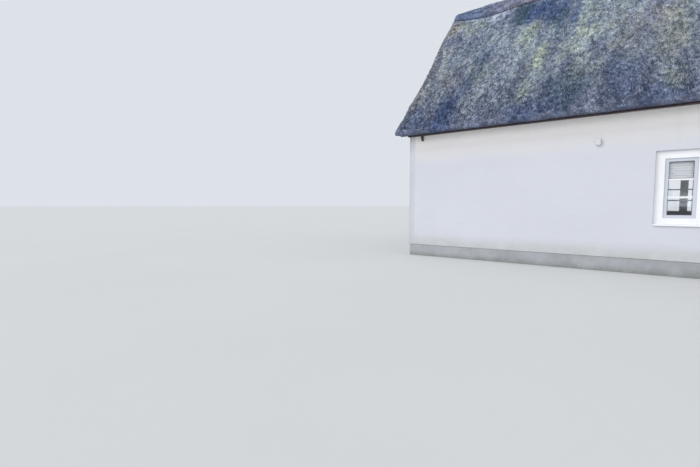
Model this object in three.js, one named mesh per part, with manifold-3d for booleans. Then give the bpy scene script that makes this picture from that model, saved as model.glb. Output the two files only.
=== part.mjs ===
// A single-storey thatched cottage with a gable at each end, in millimetres.
// +X runs along the ridge, the front faces -Y, +Z is up, and the origin is on the ground at the centre.

import * as THREE from "three";
import { mergeVertices } from "three/addons/utils/BufferGeometryUtils.js";
import Module from "manifold-3d";

const wasm = await Module();
wasm.setup();

// Driving dimensions

const GAP = 0.3; // left between neighbouring pieces

const LENGTH = 13650; // outside the gable walls
const DEPTH = 5700; // outside the front and rear walls
const WALL = 300; // thickness of every outer wall
const WALL_TOP = 2700;

const PLINTH_TOP = 250;
const PLINTH_SETBACK = 15; // behind the plaster above it
const FLOOR_TOP = 160;

const LOFT_SEAT_Z = 2400; // ledge inside the long walls
const LOFT_SEAT = 120; // width of that ledge
const LOFT_FLOOR = 160; // thickness

const ROOF_PITCH = THREE.MathUtils.degToRad(48.2);
const THATCH = 300; // thickness, square to the slope
const EAVE_OUT = 400; // where the slope reaches LIP_Z, outside the wall
const LIP_Z = 2760;
const LIP_RADIUS = 70;
const LIP_STEPS = 8; // faces round the lip
const CUT_Z = 2670; // lower edge of the trimmed eave, CUT_OUT outside the wall
const CUT_OUT = 350;
const CUT_RISE = THREE.MathUtils.degToRad(8); // the trimmed underside climbs towards the wall
const VERGE_OUT = 210; // thatch beyond each gable wall
const VERGE_ROUND = 55; // drop of the upper face at the very edge
const VERGE_ROUND_LENGTH = 80;
const VERGE_STEPS = 4;

const RIDGE_COVER = 480; // reach of the heather cap down each slope
const RIDGE_THICKNESS = 90;
const RIDGE_CREST_RADIUS = 110;
const RIDGE_END_INSET = 40; // behind the verge of the thatch

const RAFTER_WIDTH = 80;
const RAFTER_DEPTH = 140;
const RAFTER_PITCH = 900; // spacing along the ridge
const RAFTERS_EACH_SIDE = 7; // pairs on each side of the middle pair
const RIDGE_BEAM = { width: 100, bottom: 5540, top: 5800 };
const PLATE = { width: 100, height: 70, inset: 70 };

const EAVE_BOARD_BOTTOM = 2685;
const EAVE_BOARD_OUT = 105;
const VERGE_BOARD = { thickness: 30, depth: 160, inset: 300 };

const WINDOW = { width: 1120, sill: 812, head: 2015, setback: 65 };
const WINDOW_FRAME = {
  depth: 95,
  fixed: 123, // broad fixed frame round both sashes
  post: 50, // between the sashes
  stile: 50, // of each sash
  sashSetback: 25, // behind the fixed frame
};
const GLASS = { thickness: 24, overlap: 15 };
const SILL = { thickness: 30, out: 40 };
const BLIND = { thickness: 26, behindFrame: 14, bottom: 1555 };
const WINDOW_FROM_CORNER = 4515; // corner to the near edge of the window

const DOORWAY = { width: 1000, top: 2160 };
const DOOR_FRAME = { width: 55, depth: 80, setback: 110, threshold: 24 };
const DOOR = { thickness: 58, clearance: 2, stile: 120, lightSill: 1180, lightTop: 1960 };
const DOOR_PANEL = { bottom: 320, top: 1060, recess: 12, between: 90 };
const DOOR_GLASS_OVERLAP = 12;
const HANDLE = { z: 1210, fromEdge: 60, plate: [42, 8, 210], lever: 120, radius: 9, stem: 48 };
const STEP = { width: 1240, depth: 340, height: 145 };

const BRACKET = { fromCorner: 318, width: 34, depth: 70, drop: 115 };
const SENSOR = { fromCorner: 3675, width: 75, height: 110, depth: 60, bottom: 2178 };

// Sizes worked out from them

const HALF_LENGTH = LENGTH / 2;
const HALF_DEPTH = DEPTH / 2;
const INNER_LENGTH = HALF_LENGTH - WALL;
const INNER_DEPTH = HALF_DEPTH - WALL;
const SLOPE = Math.tan(ROOF_PITCH);
const APEX = LIP_Z + (HALF_DEPTH + EAVE_OUT) * SLOPE;
const INNER_APEX = APEX - THATCH / Math.cos(ROOF_PITCH);
const ROOF_HALF_LENGTH = HALF_LENGTH + VERGE_OUT;
const WINDOW_CENTRE = HALF_LENGTH - WINDOW_FROM_CORNER - WINDOW.width / 2;

const outerZ = (y) => APEX - SLOPE * Math.abs(y);
const innerZ = (y) => INNER_APEX - SLOPE * Math.abs(y);

// Materials

const material = (color, roughness, metalness = 0) =>
  new THREE.MeshStandardMaterial({ color, roughness, metalness });

const PLASTER = material(0xe9eaec, 0.9);
const PLINTH_GREY = material(0xa9abad, 0.92);
const THATCH_GREY = material(0x767c86, 1);
const HEATHER = material(0x767a8c, 1);
const TIMBER = material(0x8d6b4a, 0.8);
const DARK_TIMBER = material(0x4a362c, 0.8);
const WHITE_PAINT = material(0xf2f3f5, 0.45);
const CLEAR_GLASS = material(0xc8d4dc, 0.05);
const BLIND_GREY = material(0xd6dbe0, 0.6);
const STONE = material(0x9b9a97, 0.85);
const STEEL = material(0xb4b6b8, 0.35, 0.9);
const SCREED = material(0xb7ae9f, 0.8);

CLEAR_GLASS.transparent = true;
CLEAR_GLASS.opacity = 0.4;

// Solids from three.js shapes, joined and cut

function solid(geometry) {
  const bare = new THREE.BufferGeometry().setAttribute(
    "position",
    geometry.getAttribute("position"),
  );
  if (geometry.index) bare.setIndex(geometry.index);
  const merged = mergeVertices(bare, 1e-3);
  return new wasm.Manifold(
    new wasm.Mesh({
      numProp: 3,
      vertProperties: merged.attributes.position.array,
      triVerts: new Uint32Array(merged.index.array),
    }),
  );
}

function geometryOf(made) {
  const mesh = made.getMesh();
  const geometry = new THREE.BufferGeometry();
  geometry.setAttribute("position", new THREE.BufferAttribute(mesh.vertProperties, 3));
  geometry.setIndex(new THREE.BufferAttribute(mesh.triVerts, 1));
  const faceted = geometry.toNonIndexed();
  faceted.computeVertexNormals();
  return faceted;
}

function boxGeometry([x0, x1], [y0, y1], [z0, z1]) {
  return new THREE.BoxGeometry(x1 - x0, y1 - y0, z1 - z0).translate(
    (x0 + x1) / 2,
    (y0 + y1) / 2,
    (z0 + z1) / 2,
  );
}

const block = (x, y, z) => solid(boxGeometry(x, y, z));

// A shape drawn in (y, z) and drawn out along X from x0 to x1
function alongX(shape, x0, x1) {
  const geometry = new THREE.ExtrudeGeometry(shape, {
    depth: x1 - x0,
    curveSegments: 8,
    bevelEnabled: false,
  });
  const turn = new THREE.Matrix4().makeBasis(
    new THREE.Vector3(0, 1, 0),
    new THREE.Vector3(0, 0, 1),
    new THREE.Vector3(1, 0, 0),
  );
  return geometry.applyMatrix4(turn).translate(x0, 0, 0);
}

// A closed body through outlines of equal counts, each drawn anticlockwise in (y, z) at its own x
function loft(sections) {
  const count = sections[0].points.length;
  const last = (sections.length - 1) * count;
  const position = sections.flatMap(({ x, points }) => points.flatMap(([y, z]) => [x, y, z]));
  const index = [];
  for (let start = 0; start < last; start += count) {
    for (let i = 0; i < count; i++) {
      const [a, b] = [start + i, start + ((i + 1) % count)];
      index.push(a, b, b + count, a, b + count, a + count);
    }
  }
  const lid = sections[0].points.map(([y, z]) => new THREE.Vector2(y, z));
  for (const [a, b, c] of THREE.ShapeUtils.triangulateShape(lid, [])) {
    index.push(a, c, b, last + a, last + b, last + c);
  }
  const geometry = new THREE.BufferGeometry();
  geometry.setAttribute("position", new THREE.Float32BufferAttribute(position, 3));
  return geometry.setIndex(index);
}

function polygon(points) {
  return new THREE.Shape(points.map(([y, z]) => new THREE.Vector2(y, z)));
}

function mesh(name, geometry, finish) {
  const made = new THREE.Mesh(geometry, finish);
  made.name = name;
  return made;
}

// Base: a plinth ring that the walls stand on, and the floor inside it

function plinth() {
  const x = HALF_LENGTH - PLINTH_SETBACK;
  const y = HALF_DEPTH - PLINTH_SETBACK;
  const doorway = DOORWAY.width / 2;
  return geometryOf(
    block([-x, x], [-y, y], [0, PLINTH_TOP])
      .subtract(
        block([-INNER_LENGTH, INNER_LENGTH], [-INNER_DEPTH, INNER_DEPTH], [-1, PLINTH_TOP + 1]),
      )
      .subtract(
        block([-doorway, doorway], [-HALF_DEPTH, -INNER_DEPTH + 1], [FLOOR_TOP, PLINTH_TOP + 1]),
      ),
  );
}

function groundFloor() {
  const x = INNER_LENGTH - GAP;
  const y = INNER_DEPTH - GAP;
  return boxGeometry([-x, x], [-y, y], [0, FLOOR_TOP]);
}

// Walls, each drawn with its outer face at y = 0 and its thickness towards +Y

function windowHole(centre) {
  const half = WINDOW.width / 2;
  return block([centre - half, centre + half], [-1, WALL + 1], [WINDOW.sill, WINDOW.head]);
}

function longWall(hasDoor) {
  const x = INNER_LENGTH - GAP;
  const doorway = DOORWAY.width / 2;
  let wall = block([-x, x], [0, WALL], [PLINTH_TOP + GAP, WALL_TOP])
    .subtract(block([-x - 1, x + 1], [WALL - LOFT_SEAT, WALL + 1], [LOFT_SEAT_Z, WALL_TOP + 1]))
    .subtract(windowHole(-WINDOW_CENTRE))
    .subtract(windowHole(WINDOW_CENTRE));
  if (hasDoor) {
    wall = wall.subtract(block([-doorway, doorway], [-1, WALL + 1], [0, DOORWAY.top]));
  }
  return geometryOf(wall);
}

// A gable wall closes the end up to the underside of the thatch. Its length runs along local X.
function gableWall() {
  const bottom = PLINTH_TOP + GAP;
  const under = GAP / Math.cos(ROOF_PITCH);
  const outline = polygon([
    [-HALF_DEPTH, bottom],
    [HALF_DEPTH, bottom],
    [HALF_DEPTH, innerZ(HALF_DEPTH) - under],
    [0, INNER_APEX - under],
    [-HALF_DEPTH, innerZ(HALF_DEPTH) - under],
  ]);
  const slab = new THREE.ExtrudeGeometry(outline, { depth: WALL, bevelEnabled: false });
  slab.rotateX(Math.PI / 2).translate(0, WALL, 0);
  return geometryOf(solid(slab).subtract(windowHole(0)));
}

// Loft floor, seated on the ledges of the long walls

function loftFloor() {
  const x = INNER_LENGTH - GAP;
  const y = INNER_DEPTH + LOFT_SEAT - GAP;
  return boxGeometry([-x, x], [-y, y], [LOFT_SEAT_Z + GAP, LOFT_SEAT_Z + LOFT_FLOOR]);
}

// Roof timbers

function wallPlateSpan(grow) {
  const y = HALF_DEPTH - PLATE.inset;
  return {
    y: [-y - grow, -y + PLATE.width + grow],
    z: [WALL_TOP + GAP - grow, WALL_TOP + GAP + PLATE.height + grow],
  };
}

function wallPlate() {
  const x = INNER_LENGTH - GAP;
  const { y, z } = wallPlateSpan(0);
  return boxGeometry([-x, x], y, z);
}

// Rafter pairs, all joined by the ridge beam, notched over the wall plates
function rafters() {
  const top = GAP / Math.cos(ROOF_PITCH);
  const drop = top + RAFTER_DEPTH / Math.cos(ROOF_PITCH);
  const foot = HALF_DEPTH - PLATE.inset / 3;
  const pair = polygon([
    [-foot, innerZ(foot) - drop],
    [-foot, innerZ(foot) - top],
    [0, INNER_APEX - top],
    [foot, innerZ(foot) - top],
    [foot, innerZ(foot) - drop],
    [0, INNER_APEX - drop],
  ].reverse());
  const x = INNER_LENGTH - GAP;
  const half = RIDGE_BEAM.width / 2;
  let frame = block([-x, x], [-half, half], [RIDGE_BEAM.bottom, RIDGE_BEAM.top]);
  for (let i = -RAFTERS_EACH_SIDE; i <= RAFTERS_EACH_SIDE; i++) {
    const left = i * RAFTER_PITCH - RAFTER_WIDTH / 2;
    frame = frame.add(solid(alongX(pair, left, left + RAFTER_WIDTH)));
  }
  const notch = wallPlateSpan(GAP);
  const across = [-LENGTH, LENGTH];
  return geometryOf(
    frame
      .subtract(block(across, [-DEPTH, DEPTH], [0, WALL_TOP + GAP]))
      .subtract(block(across, notch.y, notch.z))
      .subtract(block(across, [-notch.y[1], -notch.y[0]], notch.z)),
  );
}

// Tilting board that closes the eave between the wall and the trimmed thatch
function eaveBoard() {
  const tip = HALF_DEPTH + EAVE_BOARD_OUT;
  const face = HALF_DEPTH + GAP;
  const under = GAP / Math.cos(ROOF_PITCH);
  const foot = thatchFoot();
  const outline = polygon([
    [-tip, EAVE_BOARD_BOTTOM],
    [-face, EAVE_BOARD_BOTTOM],
    [-face, innerZ(face) - under],
    [-foot.y, foot.z - under],
    [-tip, cutZ(tip) - under],
  ]);
  return alongX(outline, -HALF_LENGTH, HALF_LENGTH);
}

// Board under the verge, an upturned V against the gable wall
function vergeBoard() {
  const under = GAP / Math.cos(ROOF_PITCH);
  const drop = under + VERGE_BOARD.depth / Math.cos(ROOF_PITCH);
  const foot = HALF_DEPTH - VERGE_BOARD.inset;
  const outline = polygon([
    [foot, innerZ(foot) - drop],
    [foot, innerZ(foot) - under],
    [0, INNER_APEX - under],
    [-foot, innerZ(foot) - under],
    [-foot, innerZ(foot) - drop],
    [0, INNER_APEX - drop],
  ]);
  return alongX(outline, 0, VERGE_BOARD.thickness);
}

// Thatch: two slopes with a rounded lip, an eave trimmed nearly level and rounded verges

const cutZ = (y) => CUT_Z + (HALF_DEPTH + CUT_OUT - Math.abs(y)) * Math.tan(CUT_RISE);

// Where the underside of the thatch meets the trimmed eave
function thatchFoot() {
  const rise = Math.tan(CUT_RISE);
  const y = (INNER_APEX - CUT_Z - (HALF_DEPTH + CUT_OUT) * rise) / (SLOPE - rise);
  return { y, z: innerZ(y) };
}

// Centre of the lip's arc, LIP_RADIUS inside both the slope and the trimmed underside
function lipCentre(apex) {
  const [sp, cp] = [Math.sin(ROOF_PITCH), Math.cos(ROOF_PITCH)];
  const [sc, cc] = [-Math.sin(CUT_RISE), -Math.cos(CUT_RISE)];
  const slope = apex * cp - LIP_RADIUS;
  const cut = (HALF_DEPTH + CUT_OUT) * sc + CUT_Z * cc - LIP_RADIUS;
  const det = sp * cc - cp * sc;
  return { y: (slope * cc - cp * cut) / det, z: (sp * cut - slope * sc) / det };
}

// Cross-section of the front slope, with its upper face lowered by inset
function thatchSection(inset) {
  const apex = APEX - inset / Math.cos(ROOF_PITCH);
  const lip = lipCentre(apex);
  const foot = thatchFoot();
  const from = Math.PI / 2 - ROOF_PITCH;
  const to = -Math.PI / 2 - CUT_RISE;
  const arc = Array.from({ length: LIP_STEPS + 1 }, (_, i) => {
    const angle = from + ((to - from) * i) / LIP_STEPS;
    return [-lip.y - LIP_RADIUS * Math.cos(angle), lip.z + LIP_RADIUS * Math.sin(angle)];
  });
  const cut = GAP / 2;
  return [[-cut, innerZ(cut)], [-cut, apex - SLOPE * cut], ...arc, [-foot.y, foot.z]];
}

function thatchSlope() {
  const sections = [];
  for (const side of [-1, 1]) {
    for (let i = 0; i <= VERGE_STEPS; i++) {
      const turn = ((side < 0 ? i : VERGE_STEPS - i) / VERGE_STEPS) * (Math.PI / 2);
      sections.push({
        x: side * (ROOF_HALF_LENGTH - VERGE_ROUND_LENGTH * (1 - Math.cos(turn))),
        points: thatchSection(VERGE_ROUND * (1 - Math.sin(turn))),
      });
    }
  }
  return loft(sections);
}

// Heather cap laid over the ridge
function ridgeCap() {
  const above = GAP / Math.cos(ROOF_PITCH);
  const reach = RIDGE_COVER * Math.cos(ROOF_PITCH);
  const [sp, cp] = [Math.sin(ROOF_PITCH), Math.cos(ROOF_PITCH)];
  const centreZ = APEX + above + (RIDGE_THICKNESS - RIDGE_CREST_RADIUS) / cp;
  const slopeAngle = Math.PI / 2 - ROOF_PITCH;
  const low = { y: reach, z: outerZ(reach) + above };
  const edge = { y: low.y + RIDGE_THICKNESS * sp, z: low.z + RIDGE_THICKNESS * cp };
  const shoulder = { y: edge.y - RIDGE_THICKNESS * cp, z: edge.z + RIDGE_THICKNESS * sp };
  const outline = new THREE.Shape();
  outline.moveTo(0, APEX + above);
  outline.lineTo(low.y, low.z);
  outline.quadraticCurveTo(edge.y, edge.z, shoulder.y, shoulder.z);
  outline.absarc(0, centreZ, RIDGE_CREST_RADIUS, slopeAngle, Math.PI - slopeAngle, false);
  outline.lineTo(-shoulder.y, shoulder.z);
  outline.quadraticCurveTo(-edge.y, edge.z, -low.y, low.z);
  const end = ROOF_HALF_LENGTH - RIDGE_END_INSET;
  return alongX(outline, -end, end);
}

// One window, drawn like its wall: outer face of the wall at y = 0, centred on x = 0

function windowFrame() {
  const half = WINDOW.width / 2 - GAP;
  const front = WINDOW.setback;
  const back = front + WINDOW_FRAME.depth;
  const { fixed, post, stile, sashSetback } = WINDOW_FRAME;
  const sashX = [post / 2, WINDOW.width / 2 - fixed];
  const sashZ = [WINDOW.sill + fixed, WINDOW.head - fixed];
  const paneX = [sashX[0] + stile, sashX[1] - stile];
  const paneZ = [sashZ[0] + stile, sashZ[1] - stile];
  const pocketX = paneX[1] + GLASS.overlap;
  const pocketZ = [paneZ[0] - GLASS.overlap, paneZ[1] + GLASS.overlap];
  let frame = block([-half, half], [front, back], [WINDOW.sill + GAP, WINDOW.head - GAP]).subtract(
    block([-pocketX, pocketX], [back - GLASS.thickness - 2 * GAP, back + 1], pocketZ),
  );
  for (const side of [-1, 1]) {
    const across = ([near, far]) => (side < 0 ? [-far, -near] : [near, far]);
    frame = frame
      .subtract(block(across(sashX), [front - 1, front + sashSetback], sashZ))
      .subtract(block(across(paneX), [front - 1, back + 1], paneZ));
  }
  return geometryOf(frame);
}

// One glazing unit fills the pocket behind both sashes
function windowGlass() {
  const margin = WINDOW_FRAME.fixed + WINDOW_FRAME.stile - GLASS.overlap + GAP;
  const x = WINDOW.width / 2 - margin;
  const back = WINDOW.setback + WINDOW_FRAME.depth;
  return boxGeometry(
    [-x, x],
    [back - GAP - GLASS.thickness, back - GAP],
    [WINDOW.sill + margin, WINDOW.head - margin],
  );
}

function windowSill() {
  const half = WINDOW.width / 2 - GAP;
  const bottom = WINDOW.sill + GAP;
  return boxGeometry([-half, half], [-SILL.out, WINDOW.setback - GAP], [bottom, bottom + SILL.thickness]);
}

// Slatted blind, as one slab that hangs from the head of the opening
function windowBlind() {
  const half = WINDOW.width / 2 - 2 * BLIND.behindFrame;
  const front = WINDOW.setback + WINDOW_FRAME.depth + BLIND.behindFrame;
  return boxGeometry([-half, half], [front, front + BLIND.thickness], [BLIND.bottom, WINDOW.head - GAP]);
}

function windowUnit(name, hasBlind) {
  const unit = new THREE.Group();
  unit.add(
    mesh(`${name}_window_frame`, windowFrame(), WHITE_PAINT),
    mesh(`${name}_window_glass`, windowGlass(), CLEAR_GLASS),
    mesh(`${name}_window_sill`, windowSill(), WHITE_PAINT),
  );
  if (hasBlind) unit.add(mesh(`${name}_window_blind`, windowBlind(), BLIND_GREY));
  return unit;
}

// Front door, drawn in the same way

function doorFrame() {
  const half = DOORWAY.width / 2 - GAP;
  const y = [DOOR_FRAME.setback, DOOR_FRAME.setback + DOOR_FRAME.depth];
  const inside = DOORWAY.width / 2 - DOOR_FRAME.width;
  return geometryOf(
    block([-half, half], y, [FLOOR_TOP + GAP, DOORWAY.top - GAP]).subtract(
      block(
        [-inside, inside],
        [y[0] - 1, y[1] + 1],
        [FLOOR_TOP + DOOR_FRAME.threshold, DOORWAY.top - DOOR_FRAME.width],
      ),
    ),
  );
}

function doorLeafSpan() {
  const front = DOOR_FRAME.setback + (DOOR_FRAME.depth - DOOR.thickness) / 2;
  return {
    x: DOORWAY.width / 2 - DOOR_FRAME.width - DOOR.clearance,
    y: [front, front + DOOR.thickness],
    z: [FLOOR_TOP + DOOR_FRAME.threshold + GAP, DOORWAY.top - DOOR_FRAME.width - DOOR.clearance],
  };
}

function doorLeaf() {
  const { x, y, z } = doorLeafSpan();
  const inside = x - DOOR.stile;
  const panel = DOOR_PANEL.between / 2;
  const pocket = [y[1] - GLASS.thickness - 2 * GAP, y[1] + 1];
  const lip = DOOR_GLASS_OVERLAP;
  return geometryOf(
    block([-x, x], y, z)
      .subtract(block([-inside, inside], [y[0] - 1, y[1] + 1], [DOOR.lightSill, DOOR.lightTop]))
      .subtract(
        block([-inside - lip, inside + lip], pocket, [DOOR.lightSill - lip, DOOR.lightTop + lip]),
      )
      .subtract(
        block([-inside, -panel], [y[0] - 1, y[0] + DOOR_PANEL.recess], [DOOR_PANEL.bottom, DOOR_PANEL.top]),
      )
      .subtract(
        block([panel, inside], [y[0] - 1, y[0] + DOOR_PANEL.recess], [DOOR_PANEL.bottom, DOOR_PANEL.top]),
      ),
  );
}

function doorGlass() {
  const { x, y } = doorLeafSpan();
  const reach = DOOR_GLASS_OVERLAP - GAP;
  const half = x - DOOR.stile + reach;
  return boxGeometry(
    [-half, half],
    [y[1] - GAP - GLASS.thickness, y[1] - GAP],
    [DOOR.lightSill - reach, DOOR.lightTop + reach],
  );
}

// Back plate, stem and lever in one piece
function doorHandle() {
  const { x, y } = doorLeafSpan();
  const [width, thickness, height] = HANDLE.plate;
  const centre = x - HANDLE.fromEdge;
  const face = y[0] - GAP;
  const rod = (length) => new THREE.CylinderGeometry(HANDLE.radius, HANDLE.radius, length, 12);
  const stemLength = HANDLE.stem + thickness;
  const lever = rod(HANDLE.lever)
    .rotateZ(Math.PI / 2)
    .translate(centre - HANDLE.lever / 2 + HANDLE.radius, face - HANDLE.stem, HANDLE.z);
  const stem = rod(stemLength).translate(centre, face - stemLength / 2, HANDLE.z);
  return geometryOf(
    block(
      [centre - width / 2, centre + width / 2],
      [face - thickness, face],
      [HANDLE.z - (2 * height) / 3, HANDLE.z + height / 3],
    )
      .add(solid(stem))
      .add(solid(lever)),
  );
}

function doorStep() {
  const back = PLINTH_SETBACK - GAP;
  return boxGeometry([-STEP.width / 2, STEP.width / 2], [back - STEP.depth, back], [0, STEP.height]);
}

function doorUnit() {
  const unit = new THREE.Group();
  unit.add(
    mesh("door_frame", doorFrame(), WHITE_PAINT),
    mesh("door_leaf", doorLeaf(), WHITE_PAINT),
    mesh("door_glass", doorGlass(), CLEAR_GLASS),
    mesh("door_handle", doorHandle(), STEEL),
    mesh("doorstep", doorStep(), STONE),
  );
  return unit;
}

// Small pieces on the front

function eaveBracket() {
  return boxGeometry(
    [0, BRACKET.width],
    [-GAP - BRACKET.depth, -GAP],
    [EAVE_BOARD_BOTTOM - GAP - BRACKET.drop, EAVE_BOARD_BOTTOM - GAP],
  );
}

function wallSensor() {
  return boxGeometry(
    [0, SENSOR.width],
    [-GAP - SENSOR.depth, -GAP],
    [SENSOR.bottom, SENSOR.bottom + SENSOR.height],
  );
}

// Assembly

const cottage = new THREE.Group();

// Puts pieces drawn on a wall's own face in place. turn is 0 at the front, in degrees about Z.
function onWall(turn, distance, x, ...pieces) {
  const wall = new THREE.Group();
  wall.rotation.z = THREE.MathUtils.degToRad(turn);
  const spot = new THREE.Group();
  spot.position.set(x, -distance, 0);
  spot.add(...pieces);
  wall.add(spot);
  cottage.add(wall);
}

cottage.add(
  mesh("plinth", plinth(), PLINTH_GREY),
  mesh("ground_floor", groundFloor(), SCREED),
  mesh("loft_floor", loftFloor(), TIMBER),
);

onWall(0, HALF_DEPTH, 0, mesh("front_wall", longWall(true), PLASTER));
onWall(180, HALF_DEPTH, 0, mesh("rear_wall", longWall(false), PLASTER));
onWall(-90, HALF_LENGTH, 0, mesh("left_gable_wall", gableWall(), PLASTER));
onWall(90, HALF_LENGTH, 0, mesh("right_gable_wall", gableWall(), PLASTER));

cottage.add(mesh("rafters", rafters(), TIMBER));
for (const [side, turn] of [["front", 0], ["rear", 180]]) {
  onWall(turn, 0, 0, mesh(`${side}_wall_plate`, wallPlate(), TIMBER));
  onWall(turn, 0, 0, mesh(`${side}_eave_board`, eaveBoard(), DARK_TIMBER));
  onWall(turn, 0, 0, mesh(`${side}_thatch`, thatchSlope(), THATCH_GREY));
}

cottage.add(mesh("ridge_cap", ridgeCap(), HEATHER));

for (const [side, direction] of [["left", -1], ["right", 1]]) {
  const board = mesh(`${side}_verge_board`, vergeBoard(), DARK_TIMBER);
  const offset = direction < 0 ? -VERGE_BOARD.thickness - GAP : GAP;
  board.position.x = direction * HALF_LENGTH + offset;
  cottage.add(board);
}

onWall(0, HALF_DEPTH, -WINDOW_CENTRE, windowUnit("front_left", true));
onWall(0, HALF_DEPTH, WINDOW_CENTRE, windowUnit("front_right", true));
onWall(180, HALF_DEPTH, WINDOW_CENTRE, windowUnit("rear_left", false));
onWall(180, HALF_DEPTH, -WINDOW_CENTRE, windowUnit("rear_right", false));
onWall(-90, HALF_LENGTH, 0, windowUnit("left_gable", false));
onWall(90, HALF_LENGTH, 0, windowUnit("right_gable", false));
onWall(0, HALF_DEPTH, 0, doorUnit());

const bracketX = HALF_LENGTH - BRACKET.fromCorner;
onWall(
  0,
  HALF_DEPTH,
  -bracketX,
  mesh("front_left_eave_bracket", eaveBracket(), DARK_TIMBER),
);
onWall(
  0,
  HALF_DEPTH,
  bracketX - BRACKET.width,
  mesh("front_right_eave_bracket", eaveBracket(), DARK_TIMBER),
);
onWall(
  0,
  HALF_DEPTH,
  SENSOR.fromCorner - HALF_LENGTH,
  mesh("wall_sensor", wallSensor(), WHITE_PAINT),
);

export default cottage;
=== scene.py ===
"""Finish of a thatched cottage: reed, heather, plaster, timber, joinery and glass over its solids."""

import itertools
import math

import bmesh
import bpy
import numpy as np
from bpy.props import FloatProperty, FloatVectorProperty, IntProperty, PointerProperty
from mathutils import Matrix, Vector


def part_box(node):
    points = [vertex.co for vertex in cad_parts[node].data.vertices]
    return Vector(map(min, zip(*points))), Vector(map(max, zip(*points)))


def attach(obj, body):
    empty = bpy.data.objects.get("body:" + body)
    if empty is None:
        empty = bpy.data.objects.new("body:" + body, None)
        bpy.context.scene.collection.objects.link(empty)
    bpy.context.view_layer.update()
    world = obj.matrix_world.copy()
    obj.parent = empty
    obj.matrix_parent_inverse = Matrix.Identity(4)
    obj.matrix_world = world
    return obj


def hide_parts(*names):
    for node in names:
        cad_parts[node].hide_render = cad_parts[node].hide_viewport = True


bl_info = {
    "name": "Thatched cottage finish",
    "version": (1, 0, 0),
    "blender": (4, 5, 0),
    "location": "3D View > Sidebar > Cottage",
    "description": "Dresses the solids of a thatched cottage with reed, heather, plaster and joinery",
    "category": "Object",
}

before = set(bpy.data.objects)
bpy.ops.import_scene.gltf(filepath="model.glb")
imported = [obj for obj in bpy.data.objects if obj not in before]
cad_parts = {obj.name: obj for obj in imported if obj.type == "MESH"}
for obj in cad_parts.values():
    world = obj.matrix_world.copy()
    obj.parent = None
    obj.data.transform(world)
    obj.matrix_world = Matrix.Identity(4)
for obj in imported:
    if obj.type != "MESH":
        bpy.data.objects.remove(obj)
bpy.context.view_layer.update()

# Sizes taken from the solids, in metres

HALF_DEPTH = -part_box("front_wall")[0].y
HALF_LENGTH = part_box("right_gable_wall")[1].x
ROOF_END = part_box("front_thatch")[1].x
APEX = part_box("front_thatch")[1].z
EAVE_EDGE = -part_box("front_thatch")[0].y
CAP_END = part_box("ridge_cap")[1].x
CAP_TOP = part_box("ridge_cap")[1].z

# Sizes that the solids were drawn with

PITCH = math.radians(48.2)
THATCH = 0.300
LIP_RADIUS = 0.070
CUT_Z = 2.670
CUT_OUT = 0.350
CUT_RISE = math.radians(8)
CAP_REACH = 0.480
CAP_THICKNESS = 0.090
CAP_CREST = 0.110
WINDOW_FIXED = 0.123
WINDOW_POST = 0.050
WINDOW_STILE = 0.050
WINDOW_SETBACK = 0.065
WINDOW_DEPTH = 0.095
SASH_SETBACK = 0.025
GLASS_THICKNESS = 0.024
DOOR_STILE = 0.120

SIN, COS, TAN = math.sin(PITCH), math.cos(PITCH), math.tan(PITCH)
INNER_APEX = APEX - THATCH / COS

WINDOWS = ("front_left", "front_right", "rear_left", "rear_right", "left_gable", "right_gable")
TURNS = {"front": 0, "rear": 180, "left": -90, "right": 90}


# Settings


def linear(code):
    """The six digits of a screen colour as the renderer counts them."""
    shares = (int(code[i : i + 2], 16) / 255 for i in (0, 2, 4))
    return tuple(c / 12.92 if c <= 0.04045 else ((c + 0.055) / 1.055) ** 2.4 for c in shares)


def colour(name, description, code):
    default = linear(code)
    return FloatVectorProperty(
        name=name, description=description, default=default, subtype="COLOR", min=0, max=1
    )


def length(name, description, default):
    return FloatProperty(name=name, description=description, default=default, min=0, unit="LENGTH")


def degrees(name, description, turn):
    default = math.radians(turn)
    return FloatProperty(name=name, description=description, default=default, subtype="ANGLE")


def amount(name, description, default):
    return FloatProperty(name=name, description=description, default=default, min=0)


def whole(name, description, default):
    return IntProperty(name=name, description=description, default=default, min=0)


class ThatchSettings(bpy.types.PropertyGroup):
    step: length("Mesh step", "Spacing of the dressed face's mesh", 0.035)
    clump: length("Clump", "Width of the tufts in the weathered face", 0.085)
    relief: length("Relief", "Height of the tufts", 0.017)
    swell: length("Swell", "Height of the long waves in the slope", 0.014)
    scallop: length("Scallop", "Depth of the waves in the verge", 0.030)
    strewn: whole("Reed ends", "Reed ends per square metre", 900)
    strewn_length: length("Reed length", "Length of the reed ends that lie proud", 0.110)
    strewn_radius: length("Reed radius", "Radius of a bunch of reed ends", 0.0037)
    strewn_lift: length("Reed lift", "Height at which the reed ends stand proud", 0.011)
    strewn_dip: degrees("Reed dip", "Angle at which the reeds run into the slope", 11)
    strewn_spread: degrees("Reed spread", "How far the reeds swing to either side", 13)
    seed: whole("Seed", "Picks the pattern of tufts", 11)
    blue: colour("Blue grey", "Weathered reed", "808a99")
    violet: colour("Violet grey", "Weathered reed near the eave", "787f94")
    bleached: colour("Bleached", "Dry reed bleached by the sun", "b6bdcc")
    pale: colour("Pale lichen", "Dry, pale green lichen", "a9b3ac")
    moss: colour("Moss", "Yellow green moss", "9ba18b")
    straw: colour("Straw", "Less weathered reed", "98918c")
    # Damp reed, and the colour of the painted shadow on the front slope.
    damp: colour("Damp and shadow", "Wet, shaded reed", "3d5178")
    algae: colour("Algae", "Dark green film on wet reed", "3f5a63")


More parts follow.
